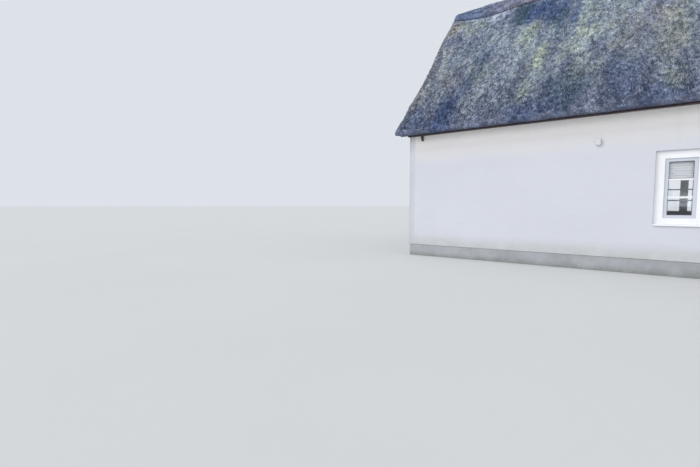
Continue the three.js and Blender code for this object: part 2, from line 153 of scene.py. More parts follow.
class RidgeSettings(bpy.types.PropertyGroup):
    step: length("Mesh step", "Spacing of the cap's mesh", 0.034)
    relief: length("Relief", "Height of the uneven heather", 0.014)
    strewn: whole("Twigs", "Twigs per square metre", 1300)
    strewn_length: length("Twig length", "Length of a twig", 0.09)
    strewn_radius: length("Twig radius", "Radius of a twig", 0.0028)
    strewn_lift: length("Twig lift", "Height at which the twigs stand proud", 0.003)
    strewn_dip: degrees("Twig dip", "Angle at which the twigs run into the cap", 5)
    strewn_spread: degrees("Twig spread", "How far the twigs swing to either side", 18)
    seed: whole("Seed", "Picks the pattern of twigs", 5)
    heather: colour("Heather", "Weathered heather", "6f7f9f")
    rust: colour("Old flowers", "Pinkish grey of old flowers", "a29dab")


class WallSettings(bpy.types.PropertyGroup):
    easing: length("Easing", "Rounding of the plaster's edges", 0.007)
    plaster: colour("Plaster", "Painted plaster", "d4d6de")
    plinth: colour("Plinth", "Painted render of the plinth", "a9acb0")


class JoinerySettings(bpy.types.PropertyGroup):
    easing: length("Easing", "Rounding of painted edges", 0.0025)
    bar_width: length("Bar width", "Width of a glazing bar", 0.032)
    bar_depth: length("Bar depth", "Depth of a glazing bar", 0.016)
    slat_pitch: length("Slat pitch", "Spacing of the blind's slats", 0.040)
    slat_width: length("Slat width", "Width of one slat", 0.045)
    slat_tilt: degrees("Slat tilt", "Tilt of the nearly closed slats", 70)
    paint: colour("Paint", "White paint of the windows and the door", "f4f5f7")
    sash: colour("Sash paint", "Greyer paint of the sashes", "ccd1da")
    slats: colour("Slats", "Lacquer of the blinds", "fafcff")
    timber: colour("Dark timber", "Stained boards", "52464a")


class StageSettings(bpy.types.PropertyGroup):
    floor: length("Floor", "Radius of the round floor", 400.0)
    key: amount("Key", "Strength of the soft key light", 1.15)
    fill: amount("Fill", "Strength of the low fill light", 0.45)
    sky: amount("Sky", "Strength of the light from all round", 0.89)
    softness: degrees("Softness", "Width of the key light", 38)


# Node trees


def find_socket(sockets, key):
    """A socket by its number, its identifier or its name."""
    if isinstance(key, int):
        return sockets[key]
    for socket in sockets:
        if socket.identifier == key:
            return socket
    return sockets[key]


class Value:
    """A node's output that takes part in sums."""

    def __init__(self, nodes, socket):
        self.nodes = nodes
        self.socket = socket

    def out(self, key):
        """Another output of the same node."""
        return Value(self.nodes, find_socket(self.socket.node.outputs, key))

    def calc(self, operation, first, second=0.0):
        return self.nodes.add("ShaderNodeMath", {"operation": operation}, {0: first, 1: second})

    def size(self):
        """The number without its sign."""
        return self.calc("ABSOLUTE", self)

    def most(self, other):
        """The larger of two numbers."""
        return self.calc("MAXIMUM", self, other)

    def __add__(self, other):
        return self.calc("ADD", self, other)

    def __radd__(self, other):
        return self.calc("ADD", other, self)

    def __sub__(self, other):
        return self.calc("SUBTRACT", self, other)

    def __rsub__(self, other):
        return self.calc("SUBTRACT", other, self)

    def __mul__(self, other):
        return self.calc("MULTIPLY", self, other)

    def __rmul__(self, other):
        return self.calc("MULTIPLY", other, self)

    def __pow__(self, other):
        return self.calc("POWER", self, other)


class Nodes:
    """Fills a node tree. Every node comes from add, with its settings first and then its sockets."""

    def __init__(self, tree):
        self.tree = tree

    def add(self, kind, settings=None, values=None, output=0):
        node = self.tree.nodes.new(kind)
        for name, value in (settings or {}).items():
            setattr(node, name, value)
        for key, value in (values or {}).items():
            socket = find_socket(node.inputs, key)
            if isinstance(value, Value):
                self.tree.links.new(value.socket, socket)
            elif socket.type == "RGBA":
                socket.default_value = (*value[:3], 1.0)
            else:
                socket.default_value = value
        return Value(self, find_socket(node.outputs, output)) if node.outputs else None

    def vector(self, operation, values):
        return self.add("ShaderNodeVectorMath", {"operation": operation}, values)

    def axis(self, vector, name):
        return self.add("ShaderNodeSeparateXYZ", None, {"Vector": vector}, name)


class Finish(Nodes):
    """A material in the making."""

    def __init__(self, name):
        self.material = bpy.data.materials.new(name)
        self.material.use_nodes = True
        super().__init__(self.material.node_tree)
        self.tree.nodes.clear()
        self.place = self.add("ShaderNodeTexCoord", output="Object")

    def attribute(self, name, output="Fac"):
        return self.add("ShaderNodeAttribute", {"attribute_name": name}, output=output)

    def noise(self, size, detail=2.0, roughness=0.5, warp=0.0, over=None, stretch=None):
        """Soft hills of a size in metres, or of the stretch times the size along each axis."""
        vector = over or self.place
        if stretch:
            wide = {"Vector": vector, "Scale": stretch}
            vector = self.add("ShaderNodeMapping", {"vector_type": "TEXTURE"}, wide)
        values = {"Vector": vector, "Scale": 1 / size, "Detail": detail}
        values |= {"Roughness": roughness, "Distortion": warp}
        return self.add("ShaderNodeTexNoise", None, values)

    def cells(self, size):
        return self.add("ShaderNodeTexVoronoi", None, {"Vector": self.place, "Scale": 1 / size})

    def ramp(self, value, low, high, start=0.0, end=1.0):
        """Smooth step of value between low and high."""
        values = {"Value": value, "From Min": low, "From Max": high, "To Min": start, "To Max": end}
        return self.add("ShaderNodeMapRange", {"interpolation_type": "SMOOTHSTEP"}, values)

    def vary(self, noise, start, end):
        """A number that follows a noise from start to end."""
        return self.ramp(noise, 0.3, 0.7, start, end)

    def product(self, *steps):
        """Smooth steps multiplied with each other, each given like the arguments of ramp."""
        total = self.ramp(*steps[0])
        for step in steps[1:]:
            total = total * self.ramp(*step)
        return total

    def mix(self, share, first, second):
        values = {"Factor_Float": share, "A_Color": first, "B_Color": second}
        return self.add("ShaderNodeMix", {"data_type": "RGBA"}, values, "Result_Color")

    def layered(self, tint, *layers):
        """A colour with others laid over it, each given as its share and its colour."""
        for share, over in layers:
            tint = self.mix(share, tint, over)
        return tint

    def scaled(self, tint, factor):
        """A colour made lighter or darker."""
        return self.vector("SCALE", {"Vector": tint, "Scale": factor})

    def bump(self, height, distance, strength=1.0):
        values = {"Height": height, "Distance": distance, "Strength": strength}
        return self.add("ShaderNodeBump", None, values)

    def surface(self, tint, rough, normal=None, gloss=0.5, metal=0.0):
        """The closing shader."""
        values = {"Base Color": tint, "Roughness": rough, "Specular IOR Level": gloss, "Metallic": metal}
        if normal:
            values["Normal"] = normal
        shader = self.add("ShaderNodeBsdfPrincipled", None, values)
        self.add("ShaderNodeOutputMaterial", None, {"Surface": shader})
        return self.material


# Materials


def thatch_finish(look):
    """Weathered reed, with painted shade and painted light that follow the tufts' height, painted shade on
    the cut face under the eave and a dark blue painted into the darker places. The mesh gives each place's
    weathering, the painted shadow among the damp, and its height in the clumps.
    """
    made = Finish("reed_thatch")
    course = made.attribute("course", "Vector")
    height = made.attribute("relief")
    cut = made.attribute("cut")
    pale = made.attribute("pale")
    moss = made.attribute("moss")
    down = made.axis(course, "Y")
    broad = made.noise(0.9, 3.0, over=course)
    drift = made.noise(0.24, 3.0, 0.6, over=course, stretch=(1.0, 1.5, 1.0))
    runs = made.noise(1.0, 3.0, 0.6, 0.3, over=course, stretch=(0.26, 1.1, 0.26))
    tuft = made.noise(0.038, 2.0, 0.65, over=course, stretch=(1.0, 1.6, 1.0))
    speck = made.noise(0.014, 1.0, over=course, stretch=(1.0, 2.2, 1.0))
    strands = made.noise(1.0, 2.0, 0.6, 0.2, over=course, stretch=(0.0055, 0.10, 0.0055))
    butts = made.cells(0.0062)
    dots = made.ramp(butts, 0.80, 0.36, 0.10, 0.55 + 0.45 * made.axis(butts.out("Color"), "X"))
    strands = strands + (dots - strands) * cut
    tuft = tuft + (0.5 - tuft) * 0.5 * cut

    lichen = pale.most(made.product((runs, 0.46, 0.66), (down, 4.7, 3.6, 0.0, 0.40)))
    fleck = made.product((tuft, 0.58, 0.74), (height, 0.35, 0.80))
    tint = made.layered(
        look.blue,
        (made.ramp(broad, 0.42, 0.62) * 0.7, look.violet),
        (made.attribute("eave") * 0.9, look.violet),
        (made.attribute("bleached") * made.ramp(drift, 0.28, 0.50), look.bleached),
        (lichen * made.ramp(drift, 0.32, 0.58), look.pale),
        (moss * made.ramp(tuft, 0.34, 0.60), look.moss),
        (made.attribute("straw") * made.ramp(drift, 0.30, 0.60), look.straw),
        # Damp reed and painted shadow, in one dark blue.
        (made.attribute("damp") * 0.92, look.damp),
        (made.attribute("algae") * 0.75, look.algae),
        (fleck * 0.5, made.mix(pale.most(moss), linear("bfc2cb"), linear("c6ccb8"))),
    )
    # The relief's share is painted shade in the hollows of the tufts and painted light on their tips; the
    # other noises are the reed's own tone.
    light = made.product(
        (height, 0.10, 0.85, 0.60, 1.24),
        (tuft, 0.32, 0.68, 0.74, 1.24),
        (speck, 0.30, 0.70, 0.78, 1.20),
        (strands, 0.34, 0.66, 0.76, 1.18),
        (runs, 0.34, 0.66, 0.84, 1.18),
        (down, 5.0, 0.8, 0.98, 1.22),
    )
    # On the cut face under the eave: the reed butts' dots, and painted shade that darkens the face as a
    # whole.
    light = light * (0.72 + 0.71 * made.attribute("tone")) * (1 + cut * (dots * 0.8 - 0.38))
    light = light ** made.ramp(down, 3.3, 4.6, 1.0, 1.22) * made.ramp(down, 3.3, 4.6, 1.0, 0.95)
    # Painted shade: the darker places are mixed towards a dark blue, the colour of shade.
    tint = made.mix(made.ramp(light, 1.0, 0.45) * 0.45, made.scaled(tint, light), linear("2f3d60"))
    return made.surface(tint, 0.94, made.bump(strands + 0.7 * tuft + 0.3 * speck, 0.011), 0.25)


def heather_finish(look):
    """Grey, twiggy heather with a little of its old flower left."""
    made = Finish("heather")
    patch = made.noise(0.6, 3.0, 0.6)
    clump = made.noise(0.06, 3.0, 0.65)
    fibres = made.noise(1.0, 2.0, 0.6, 0.8, stretch=(0.006, 0.055, 0.055))
    inner = made.ramp(made.axis(made.place, "X").size(), CAP_END - 0.4, CAP_END - 1.7)
    tint = made.layered(
        look.heather,
        (inner * made.ramp(patch, 0.32, 0.64, 0.40, 0.95), look.rust),
        (made.ramp(clump, 0.60, 0.74) * 0.4, linear("aeb0a6")),
    )
    # The relief's share is painted shade in the hollows of the heather and painted light on its lumps.
    light = made.product(
        (clump, 0.30, 0.70, 0.66, 1.30),
        (made.attribute("relief"), 0.1, 0.9, 0.6, 1.2),
        (fibres, 0.32, 0.68, 0.72, 1.26),
    )
    tint = made.scaled(tint, light * (0.65 + 0.7 * made.attribute("tone")))
    return made.surface(tint, 0.95, made.bump(clump + 0.8 * fibres, 0.014), 0.2)


def plaster_finish(look):
    """Trowelled and painted plaster, a little soiled at its foot and under the eave, with painted light
    high on the long walls that lifts the shade under the eave.
    """
    made = Finish("white_plaster")
    x, y, z = (made.axis(made.place, name) for name in "XYZ")
    sweep = made.noise(1.3, 3.0)
    patch = made.noise(0.35, 4.0, 0.6)
    grain = made.noise(0.009, 3.0, 0.6)
    trowel = made.noise(0.12, 2.0, stretch=(1.6, 1.6, 1.0))
    streak = made.noise(1.0, 2.0, 0.6, stretch=(0.22, 0.22, 1.6))
    long_side = made.ramp(y.size(), HALF_DEPTH - 0.015, HALF_DEPTH - 0.005)
    soiled = made.product((z + 0.18 * patch, 0.66, 0.36), (grain + patch, 0.7, 1.3, 0.2, 0.6))
    corner = made.ramp(x, 0.170 - HALF_LENGTH, 0.110 - HALF_LENGTH, 0.0, 0.5)
    corner = corner + made.ramp(x, 0.060 - HALF_LENGTH, 0.030 - HALF_LENGTH, 0.0, 0.3)
    tint = made.layered(
        made.scaled(look.plaster, made.vary(sweep, 0.965, 1.0)),
        (made.ramp(patch, 0.45, 0.75) * 0.22, linear("cfd2da")),
        # Painted light: a cream band and a near-white band high on the front and rear walls stand in for
        # light under the eave and lift its shade.
        (long_side * made.ramp(z, 1.90, 2.65) * 0.60, linear("f3ede5")),
        (long_side * made.ramp(z, 2.38, 2.60) * 0.92, linear("fdfaf7")),
        (made.product((streak, 0.56, 0.80), (z, 1.5, 2.65)) * 0.06, linear("a9a8a4")),
        (soiled, linear("a8aa9c")),
        (corner * made.ramp(patch, 0.3, 0.6, 0.7, 1.0), linear("bcc0c9")),
    )
    normal = made.bump(grain * 0.25 + trowel + 0.8 * patch, 0.009, 0.8)
    return made.surface(tint, made.vary(patch, 0.72, 0.86), normal, 0.3)


def plinth_finish(look):
    """Grey render, splashed darker along the ground."""
    made = Finish("plinth")
    patch = made.noise(0.30, 4.0, 0.6)
    grain = made.noise(0.011, 3.0, 0.7)
    splash = made.ramp(made.axis(made.place, "Z") + 0.12 * patch, 0.20, 0.04)
    tint = made.scaled(look.plinth, made.vary(patch, 0.86, 1.06))
    tint = made.mix(splash * made.vary(grain, 0.2, 0.8), tint, linear("6b6c60"))
    return made.surface(tint, 0.9, made.bump(grain + patch, 0.004, 0.8), 0.3)


def timber_finish(name, tint, run):
    """Sawn timber whose grain runs along the axis numbered run."""
    made = Finish(name)
    narrow, broad = [0.010] * 3, [0.040] * 3
    narrow[run], broad[run] = 0.45, 6.4
    grain = made.noise(1.0, 3.0, 0.6, 0.4, stretch=narrow)
    wide = made.noise(1.0, 2.0, stretch=broad)
    light = made.product((grain, 0.32, 0.68, 0.55, 1.25), (wide, 0.3, 0.7, 0.85, 1.15))
    normal = made.bump(grain, 0.002, 0.7)
    return made.surface(made.scaled(tint, light), made.vary(grain, 0.85, 0.65), normal, 0.35)


def boards_finish(tint):
    """Planks seen from below and above."""
    made = Finish("floorboards")
    values = {"Vector": made.place, "Color1": linear("b08a60"), "Color2": tint, "Mortar": linear("4a3524")}
    values |= {"Scale": 1.0, "Mortar Size": 0.003, "Brick Width": 3.2, "Row Height": 0.145}
    planks = made.add("ShaderNodeTexBrick", {"offset": 0.37, "offset_frequency": 2}, values)
    grain = made.noise(1.0, 3.0, 0.6, 0.4, stretch=(0.5, 0.012, 0.012))
    tint = made.scaled(planks, made.vary(grain, 0.7, 1.15))
    return made.surface(tint, 0.6, made.bump(grain * 0.2 - planks.out("Fac"), 0.002, 0.7))


def screed_finish():
    made = Finish("screed")
    grain = made.noise(0.01)
    tint = made.scaled(linear("a89f92"), made.vary(made.noise(0.7, 4.0, 0.6), 0.85, 1.1))
    return made.surface(tint, made.vary(grain, 0.6, 0.8), made.bump(grain, 0.001, 0.5))


def paint_finish(name, tint, rough=0.36):
    """Brushed gloss paint, slightly greyer where water stands."""
    made = Finish(name)
    brush = made.noise(0.02, 3.0)
    patch = made.noise(0.25, 3.0)
    tint = made.scaled(tint, made.vary(patch, 0.955, 1.0))
    tint = made.mix(made.ramp(brush, 0.62, 0.80) * 0.12, tint, linear("c4c7c8"))
    return made.surface(tint, made.vary(patch, rough, rough + 0.12), made.bump(brush, 0.0008, 0.35), 0.45)


def glass_finish():
    """Thin clear glass: the view into the room, with the sky's reflection over it."""
    made = Finish("window_glass")
    wave = made.bump(made.noise(0.5, 1.0), 0.002, 0.2)
    mirror = {"Base Color": linear("e4ecf2"), "Metallic": 1.0, "Roughness": 0.02, "Normal": wave}
    shine = made.add("ShaderNodeBsdfPrincipled", None, mirror)
    clear = made.add("ShaderNodeBsdfTransparent", None, {"Color": linear("ffffff")})
    edge = made.add("ShaderNodeFresnel", None, {"IOR": 1.5})
    pane = made.add("ShaderNodeMixShader", None, {0: edge, 1: clear, 2: shine})
    made.add("ShaderNodeOutputMaterial", None, {"Surface": pane})
    return made.material


def gasket_finish():
    made = Finish("glazing_gasket")
    dust = made.ramp(made.noise(0.05, 3.0), 0.4, 0.7) * 0.4
    return made.surface(made.mix(dust, linear("4a5468"), linear("7c8698")), 0.6)


def slats_finish(tint):
    made = Finish("blind_slats")
    dust = made.noise(1.0, 3.0, stretch=(0.4, 0.1, 0.02))
    tint = made.scaled(tint, made.vary(dust, 0.93, 1.0))
    return made.surface(tint, made.vary(dust, 0.42, 0.55), made.bump(dust, 0.0005, 0.3))


def steel_finish():
    made = Finish("handle_steel")
    brushed = made.noise(1.0, 2.0, stretch=(0.03, 0.03, 0.0008))
    tint = made.scaled(linear("c2c4c6"), made.vary(brushed, 0.88, 1.05))
    normal = made.bump(brushed, 0.0003, 0.3)
    return made.surface(tint, made.vary(brushed, 0.26, 0.42), normal, metal=1.0)


def stone_finish():
    """Grey granite with pale and dark crystals."""
    made = Finish("step_stone")
    crystal = made.cells(0.010)
    cloud = made.noise(0.20, 4.0, 0.6)
    fleck = made.axis(crystal.out("Color"), "X")
    tint = made.mix(made.ramp(fleck, 0.55, 0.75), linear("8e8d8a"), linear("b9b5ac"))
    tint = made.mix(made.ramp(fleck, 0.24, 0.10), tint, linear("4c4d50"))
    tint = made.scaled(tint, made.vary(cloud, 0.86, 1.1))
    return made.surface(tint, made.vary(cloud, 0.55, 0.8), made.bump(crystal + cloud, 0.003, 0.5))


def floor_finish():
    made = Finish("stage_floor")
    tint = made.scaled(linear("dededc"), made.vary(made.noise(2.5), 0.985, 1.0))
    return made.surface(tint, 0.9, gloss=0.2)


# Noise over a surface


def lattice(column, row, seed):
    """Numbers from 0 to 1 that look random, one for each whole column and row."""
    mixed = column.astype(np.int64) * 374761393 + row.astype(np.int64) * 668265263 + seed * 974634777
    mixed &= 0xFFFFFFFF
    mixed = ((mixed ^ (mixed >> 13)) * 1274126177) & 0xFFFFFFFF
    return ((mixed ^ (mixed >> 16)) & 0xFFFF) / 0xFFFF


def ease(t):
    """Smooth step of t, held between 0 and 1."""
    t = np.clip(t, 0, 1)
    return t * t * (3 - 2 * t)


def near(distance, reach):
    """1 at no distance, falling in a straight line to 0 at the reach."""
    return np.clip(1 - distance / reach, 0, 1)


def bell(distance, width):
    """1 at no distance, falling off smoothly to both sides."""
    return np.exp(-((distance / width) ** 2))


def turned(u, v, size, stretch, angle):
    """A pattern's coordinates: hills of the given size, longer down the slope, on a turned lattice."""
    v = v / stretch
    cosine, sine = math.cos(angle), math.sin(angle)
    return (u * cosine - v * sine) / size, (u * sine + v * cosine) / size


def ripple(u, v, seed):
    """Smooth noise from about -1 to 1 whose hills are about one unit wide."""
    column, row = np.floor(u), np.floor(v)
    du, dv = u - column, v - row
    total = np.zeros_like(u)
    for right in (0, 1):
        for up in (0, 1):
            angle = 2 * math.pi * lattice(column + right, row + up, seed)
            slope = np.cos(angle) * (du - right) + np.sin(angle) * (dv - up)
            share = (ease(du) if right else 1 - ease(du)) * (ease(dv) if up else 1 - ease(dv))
            total += slope * share
    return total * 1.5


def hills(u, v, seed, *layers):
    """Noises added up, each given as its height, its width both ways and its own seed."""
    return sum(height * ripple(u / across, v / down, seed + own) for height, across, down, own in layers)


# Meshes


def link(name, data):
    """A new object in the scene."""
    made = bpy.data.objects.new(name, data)
    bpy.context.scene.collection.objects.link(made)
    return made


def put(name, mesh, material=None):
    """Links a mesh under a piece's name."""
    if material:
        mesh.materials.clear()
        mesh.materials.append(material)
    return link(name, mesh)


def ride(piece, slot, *nodes):
    """Makes a piece part of the house and hides the solids it stands for. Its slot is not used."""
    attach(piece, "root")
    if nodes:
        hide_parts(*nodes)
    return piece


def mesh_from(work, name):
    mesh = bpy.data.meshes.new(name)
    work.to_mesh(mesh)
    work.free()
    return mesh


def fit(name, work, material, slot, *nodes, place=Matrix()):
    """Makes a piece of the worked shape, moved from its wall's own frame to its place."""
    mesh = mesh_from(work, name)
    mesh.transform(place)
    return ride(put(name, mesh, material), slot, *nodes)


def grid_faces(rows, columns, start=0, flip=False):
    """Quads over a grid of vertices that is numbered row by row."""
    row, column = np.meshgrid(np.arange(rows - 1), np.arange(columns - 1), indexing="ij")
    a = (start + row * columns + column).ravel()
    quads = np.stack([a, a + 1, a + columns + 1, a + columns], axis=1)
    return quads[:, ::-1] if flip else quads


def sheet(points, faces, fields, name):
    """A mesh with one named value or direction for each vertex."""
    mesh = bpy.data.meshes.new(name)
    mesh.from_pydata(points.tolist(), [], faces.tolist())
    for field, values in fields.items():
        kind, holder = ("FLOAT_VECTOR", "vector") if values.ndim == 2 else ("FLOAT", "value")
        stored = mesh.attributes.new(field, kind, "POINT")
        stored.data.foreach_set(holder, values.astype(np.float32).ravel())
    return mesh


def closed(mesh):
    """Merges the seams, closes what is left open with one face, and turns the faces outwards."""
    work = bmesh.new()
    work.from_mesh(mesh)
    bmesh.ops.remove_doubles(work, verts=work.verts, dist=2e-5)
    rim = [edge for edge in work.edges if edge.is_boundary]
    if rim:
        bmesh.ops.holes_fill(work, edges=rim, sides=0)
    bmesh.ops.recalc_face_normals(work, faces=work.faces)
    work.to_mesh(mesh)
    work.free()
    return mesh


def sharp_edges(work, turn):
    """Edges where the surface turns by more than the given degrees."""
    return [edge for edge in work.edges if edge.calc_face_angle(0) > math.radians(turn)]


def round_edges(work, edges, width, steps=2, clamp=False):
    bmesh.ops.bevel(
        work, geom=edges, offset=width, segments=steps, profile=0.5, affect="EDGES", clamp_overlap=clamp
    )


def eased(node, width, steps=2):
    """A copy of a solid with its sharp edges rounded over, but for those where two walls meet."""
    work = bmesh.new()
    work.from_mesh(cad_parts[node].data)
    bmesh.ops.remove_doubles(work, verts=work.verts, dist=1e-5)
    bmesh.ops.dissolve_limit(work, angle_limit=math.radians(0.5), verts=work.verts, edges=work.edges)
    sharp = sharp_edges(work, 25)
    if node.endswith("_wall"):
        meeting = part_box("front_wall")[1].x
        sharp = [edge for edge in sharp if any(abs(abs(v.co.x) - meeting) > 0.002 for v in edge.verts)]
    round_edges(work, sharp, width, steps, clamp=True)
    return mesh_from(work, node)


def add_block(work, low, high, easing=0.0):
    """A box with rounded edges, from its lowest to its highest corner."""
    verts = [work.verts.new(corner) for corner in itertools.product(*zip(low, high))]
    faces = ((0, 1, 3, 2), (4, 6, 7, 5), (0, 4, 5, 1), (2, 3, 7, 6), (0, 2, 6, 4), (1, 5, 7, 3))
    made = [work.faces.new([verts[i] for i in face]) for face in faces]
    if easing:
        round_edges(work, list(dict.fromkeys(edge for face in made for edge in face.edges)), easing)


def add_frame(work, low, high, width, easing):
    """Four lengths round a rectangle that stands along a wall."""
    (x0, y0, z0), (x1, y1, z1) = low, high
    for z in (z0, z1 - width):
        add_block(work, (x0, y0, z), (x1, y1, z + width), easing)
    for x in (x0, x1 - width):
        add_block(work, (x, y0, z0 + width), (x + width, y1, z1 - width), easing)


def add_bar(work, outline, start, stop):
    """A closed bar along x from start to stop, whose outline is given as (y, z)."""
    ends = [[work.verts.new((x, y, z)) for y, z in outline] for x in (start, stop)]
    work.faces.new(ends[0])
    work.faces.new(ends[1][::-1])
    for i in range(len(outline)):
        j = (i + 1) % len(outline)
        work.faces.new((ends[0][j], ends[0][i], ends[1][i], ends[1][j]))
    bmesh.ops.recalc_face_normals(work, faces=work.faces)


def keep_inside(mesh, low, high):
    """Moves what stands outside the given box onto its faces."""
    spots = np.empty(len(mesh.vertices) * 3, np.float32)
    mesh.vertices.foreach_get("co", spots)
    spots = np.clip(spots.reshape(-1, 3), np.array(low), np.array(high))
    mesh.vertices.foreach_set("co", spots.astype(np.float32).ravel())
    mesh.update()


# Rules that repeat a shape


def new_rule(name, inputs):
    """A geometry tree with named inputs, and a function that gives each input's value."""
    tree = bpy.data.node_groups.new(name, "GeometryNodeTree")
    for label, kind in {"Geometry": "Geometry", **inputs}.items():
        tree.interface.new_socket(label, in_out="INPUT", socket_type=f"NodeSocket{kind}")
    tree.interface.new_socket("Geometry", in_out="OUTPUT", socket_type="NodeSocketGeometry")
    nodes = Nodes(tree)
    return nodes, nodes.add("NodeGroupInput").out


def close_rule(nodes, shape, material):
    """Every tree ends in real geometry with its material."""
    real = nodes.add("GeometryNodeRealizeInstances", None, {"Geometry": shape})
    done = nodes.add("GeometryNodeSetMaterial", None, {"Geometry": real, "Material": material})
    nodes.add("NodeGroupOutput", None, {"Geometry": done})
    return nodes.tree


def straw_rule(material):
    """Strews pointed straws over a surface, lying up the slope with their butts standing proud."""
    floats = ("Count per area", "From", "To", "Length", "Radius", "Lift", "Dip", "Spread")
    nodes, given = new_rule("straws", {**dict.fromkeys(floats, "Float"), "Seed": "Int"})

    def named(name, kind="FLOAT"):
        return nodes.add("GeometryNodeInputNamedAttribute", {"data_type": kind}, {"Name": name})

    def chance(low, high, offset, kind="FLOAT_VECTOR"):
        ending = "" if kind == "FLOAT_VECTOR" else "_001"
        values = {f"Min{ending}": low, f"Max{ending}": high, "Seed": given("Seed") + offset}
        return nodes.add("FunctionNodeRandomValue", {"data_type": kind}, values, f"Value{ending}")

    x = nodes.axis(nodes.add("GeometryNodeInputPosition"), "X")
    within = x.calc("GREATER_THAN", x, given("From")) * x.calc("LESS_THAN", x, given("To"))
    density = given("Count per area") * named("cover") * within
    values = {"Mesh": given("Geometry"), "Density": density, "Seed": given("Seed")}
    settings = {"distribute_method": "RANDOM"}
    scattered = nodes.add("GeometryNodeDistributePointsOnFaces", settings, values, "Points")
    normal = scattered.out("Normal")
    lift = nodes.vector("SCALE", {"Vector": normal, "Scale": given("Lift")})
    points = nodes.add("GeometryNodeSetPosition", None, {"Geometry": scattered, "Offset": lift})

    values = {"Vertices": 3, "Side Segments": 1, "Radius Top": 0.0}
    values |= {"Radius Bottom": given("Radius"), "Depth": given("Length")}
    straw = nodes.add("GeometryNodeMeshCone", {"fill_type": "NGON"}, values)

    values = {"Primary Axis": named("lay", "FLOAT_VECTOR"), "Secondary Axis": normal}
    settings = {"primary_axis": "Z", "secondary_axis": "Y"}
    along = nodes.add("FunctionNodeAxesToRotation", settings, values)
    values = {"X": 0.35 * given("Spread"), "Y": given("Spread"), "Z": 1.0}
    reach = nodes.add("ShaderNodeCombineXYZ", None, values)
    swing = nodes.vector("MULTIPLY", {0: chance((-1, -1, -0.5), (1, 1, 0.5), 1), 1: reach})
    dip = nodes.add("ShaderNodeCombineXYZ", None, {"X": given("Dip")})
    turn = nodes.vector("ADD", {0: swing, 1: dip})
    turn = nodes.add("FunctionNodeEulerToRotation", None, {0: turn})
    values = {"Rotation": along, "Rotate By": turn}
    lying = nodes.add("FunctionNodeRotateRotation", {"rotation_space": "LOCAL"}, values)

    values = {"Points": points, "Instance": straw, "Rotation": lying}
    values["Scale"] = chance((0.6, 0.6, 0.6), (1.4, 1.4, 1.5), 2)
    straws = nodes.add("GeometryNodeInstanceOnPoints", None, values)
    values = {"Geometry": straws, "Name": "tone", "Value": chance(0.0, 1.0, 3, "FLOAT")}
    settings = {"data_type": "FLOAT", "domain": "INSTANCE"}
    return close_rule(nodes, nodes.add("GeometryNodeStoreNamedAttribute", settings, values), material)


def row_rule(material):
    """Repeats the given shape in a straight row."""
    nodes, given = new_rule("row", {"Count": "Int", "Step": "Vector"})
    values = {"Count": given("Count"), "Start Location": (0, 0, 0), "Offset": given("Step")}
    line = nodes.add("GeometryNodeMeshLine", {"mode": "OFFSET"}, values)
    values = {"Points": line, "Instance": given("Geometry")}
    return close_rule(nodes, nodes.add("GeometryNodeInstanceOnPoints", None, values), material)


def grown(mesh, tree, **values):
    """What a tree makes from a mesh, as a plain mesh. Keywords are its inputs, with _ for spaces."""
    carrier = put("carrier", mesh)
    modifier = carrier.modifiers.new("rule", "NODES")
    modifier.node_group = tree
    for item in tree.interface.items_tree:
        key = item.name.replace(" ", "_")
        if item.in_out == "INPUT" and key in values:
            modifier[item.identifier] = values[key]
    depsgraph = bpy.context.evaluated_depsgraph_get()
    evaluated = carrier.evaluated_get(depsgraph)
    result = bpy.data.meshes.new_from_object(evaluated, preserve_all_data_layers=True, depsgraph=depsgraph)
    carrier.modifiers.remove(modifier)
    bpy.data.objects.remove(carrier)
    return result


def strewn(mesh, rule, look, start, stop, seed):
    """Straws over a mesh between two places along the ridge, as the settings of its straws say."""
    shape = ("length", "radius", "lift", "dip", "spread")
    given = {name.title(): getattr(look, f"strewn_{name}") for name in shape}
    return grown(mesh, rule, Count_per_area=float(look.strewn), From=start, To=stop, Seed=seed, **given)


# Thatch

UP = np.array((0.0, 0.0, 1.0))
LIP_STEPS = 10
LIP_SQUARENESS = 4.5  # 2 leaves the lower edge of the lip round
END_ROWS = 8
VERGE_STEPS = 5
VERGE_ROLL = 0.090  # length of the rounding at the very edge
VERGE_DROP = 0.034
VERGE_FALL = 0.550  # reach of the gentle fall towards the verge
VERGE_FALL_DROP = 0.022
VERGE_UNDERCUT = 0.035
VERGE_RELIEF = 0.012  # depth of the unevenness in the end face
VERGE_BULGE_AT = 1.15  # places down the slope
VERGE_HOLLOW_AT = 2.85
VERGE_QUIET_AT = 4.30
VERGE_BULGE = 0.030
VERGE_BULGE_REACH = 0.55
VERGE_HOLLOW = 0.045
VERGE_HOLLOW_REACH = 0.70
VERGE_INSET = 0.010  # how far the verge lies inside the full length
VERGE_INSET_LEAST = 0.002
VERGE_REST = 0.008  # its inset at the ridge
EAVE_REST = 0.036  # its inset at the eave
INSET_REACH = 0.45  # how far from the verge the surface is drawn in with it
EAVE_LIFT = 0.010  # rise of the trimmed eave at the corners
EAVE_LIFT_REACH = 0.75
COAT_DEPTH = 0.005  # how much lower the coat lies than it does under the cap
CAP_DEPTH = 0.001
CAP_TAPER = 1.00  # length over which the cap's lower edge climbs towards its end
CAP_TAPER_RISE = 0.31
CAP_WAVE = 0.055  # the cap's lower edge rises and falls by this much along the ridge
CAP_WAVE_LENGTH = 2.15
NEAR_PART = -1.7  # where the named places end, along the ridge

# Each slope's halves, in the order in which they are drawn

SLOPES = {"front": ("left", "right"), "rear": ("right", "left")}

# Noises of the slopes: height, width along and down the slope, and own seed

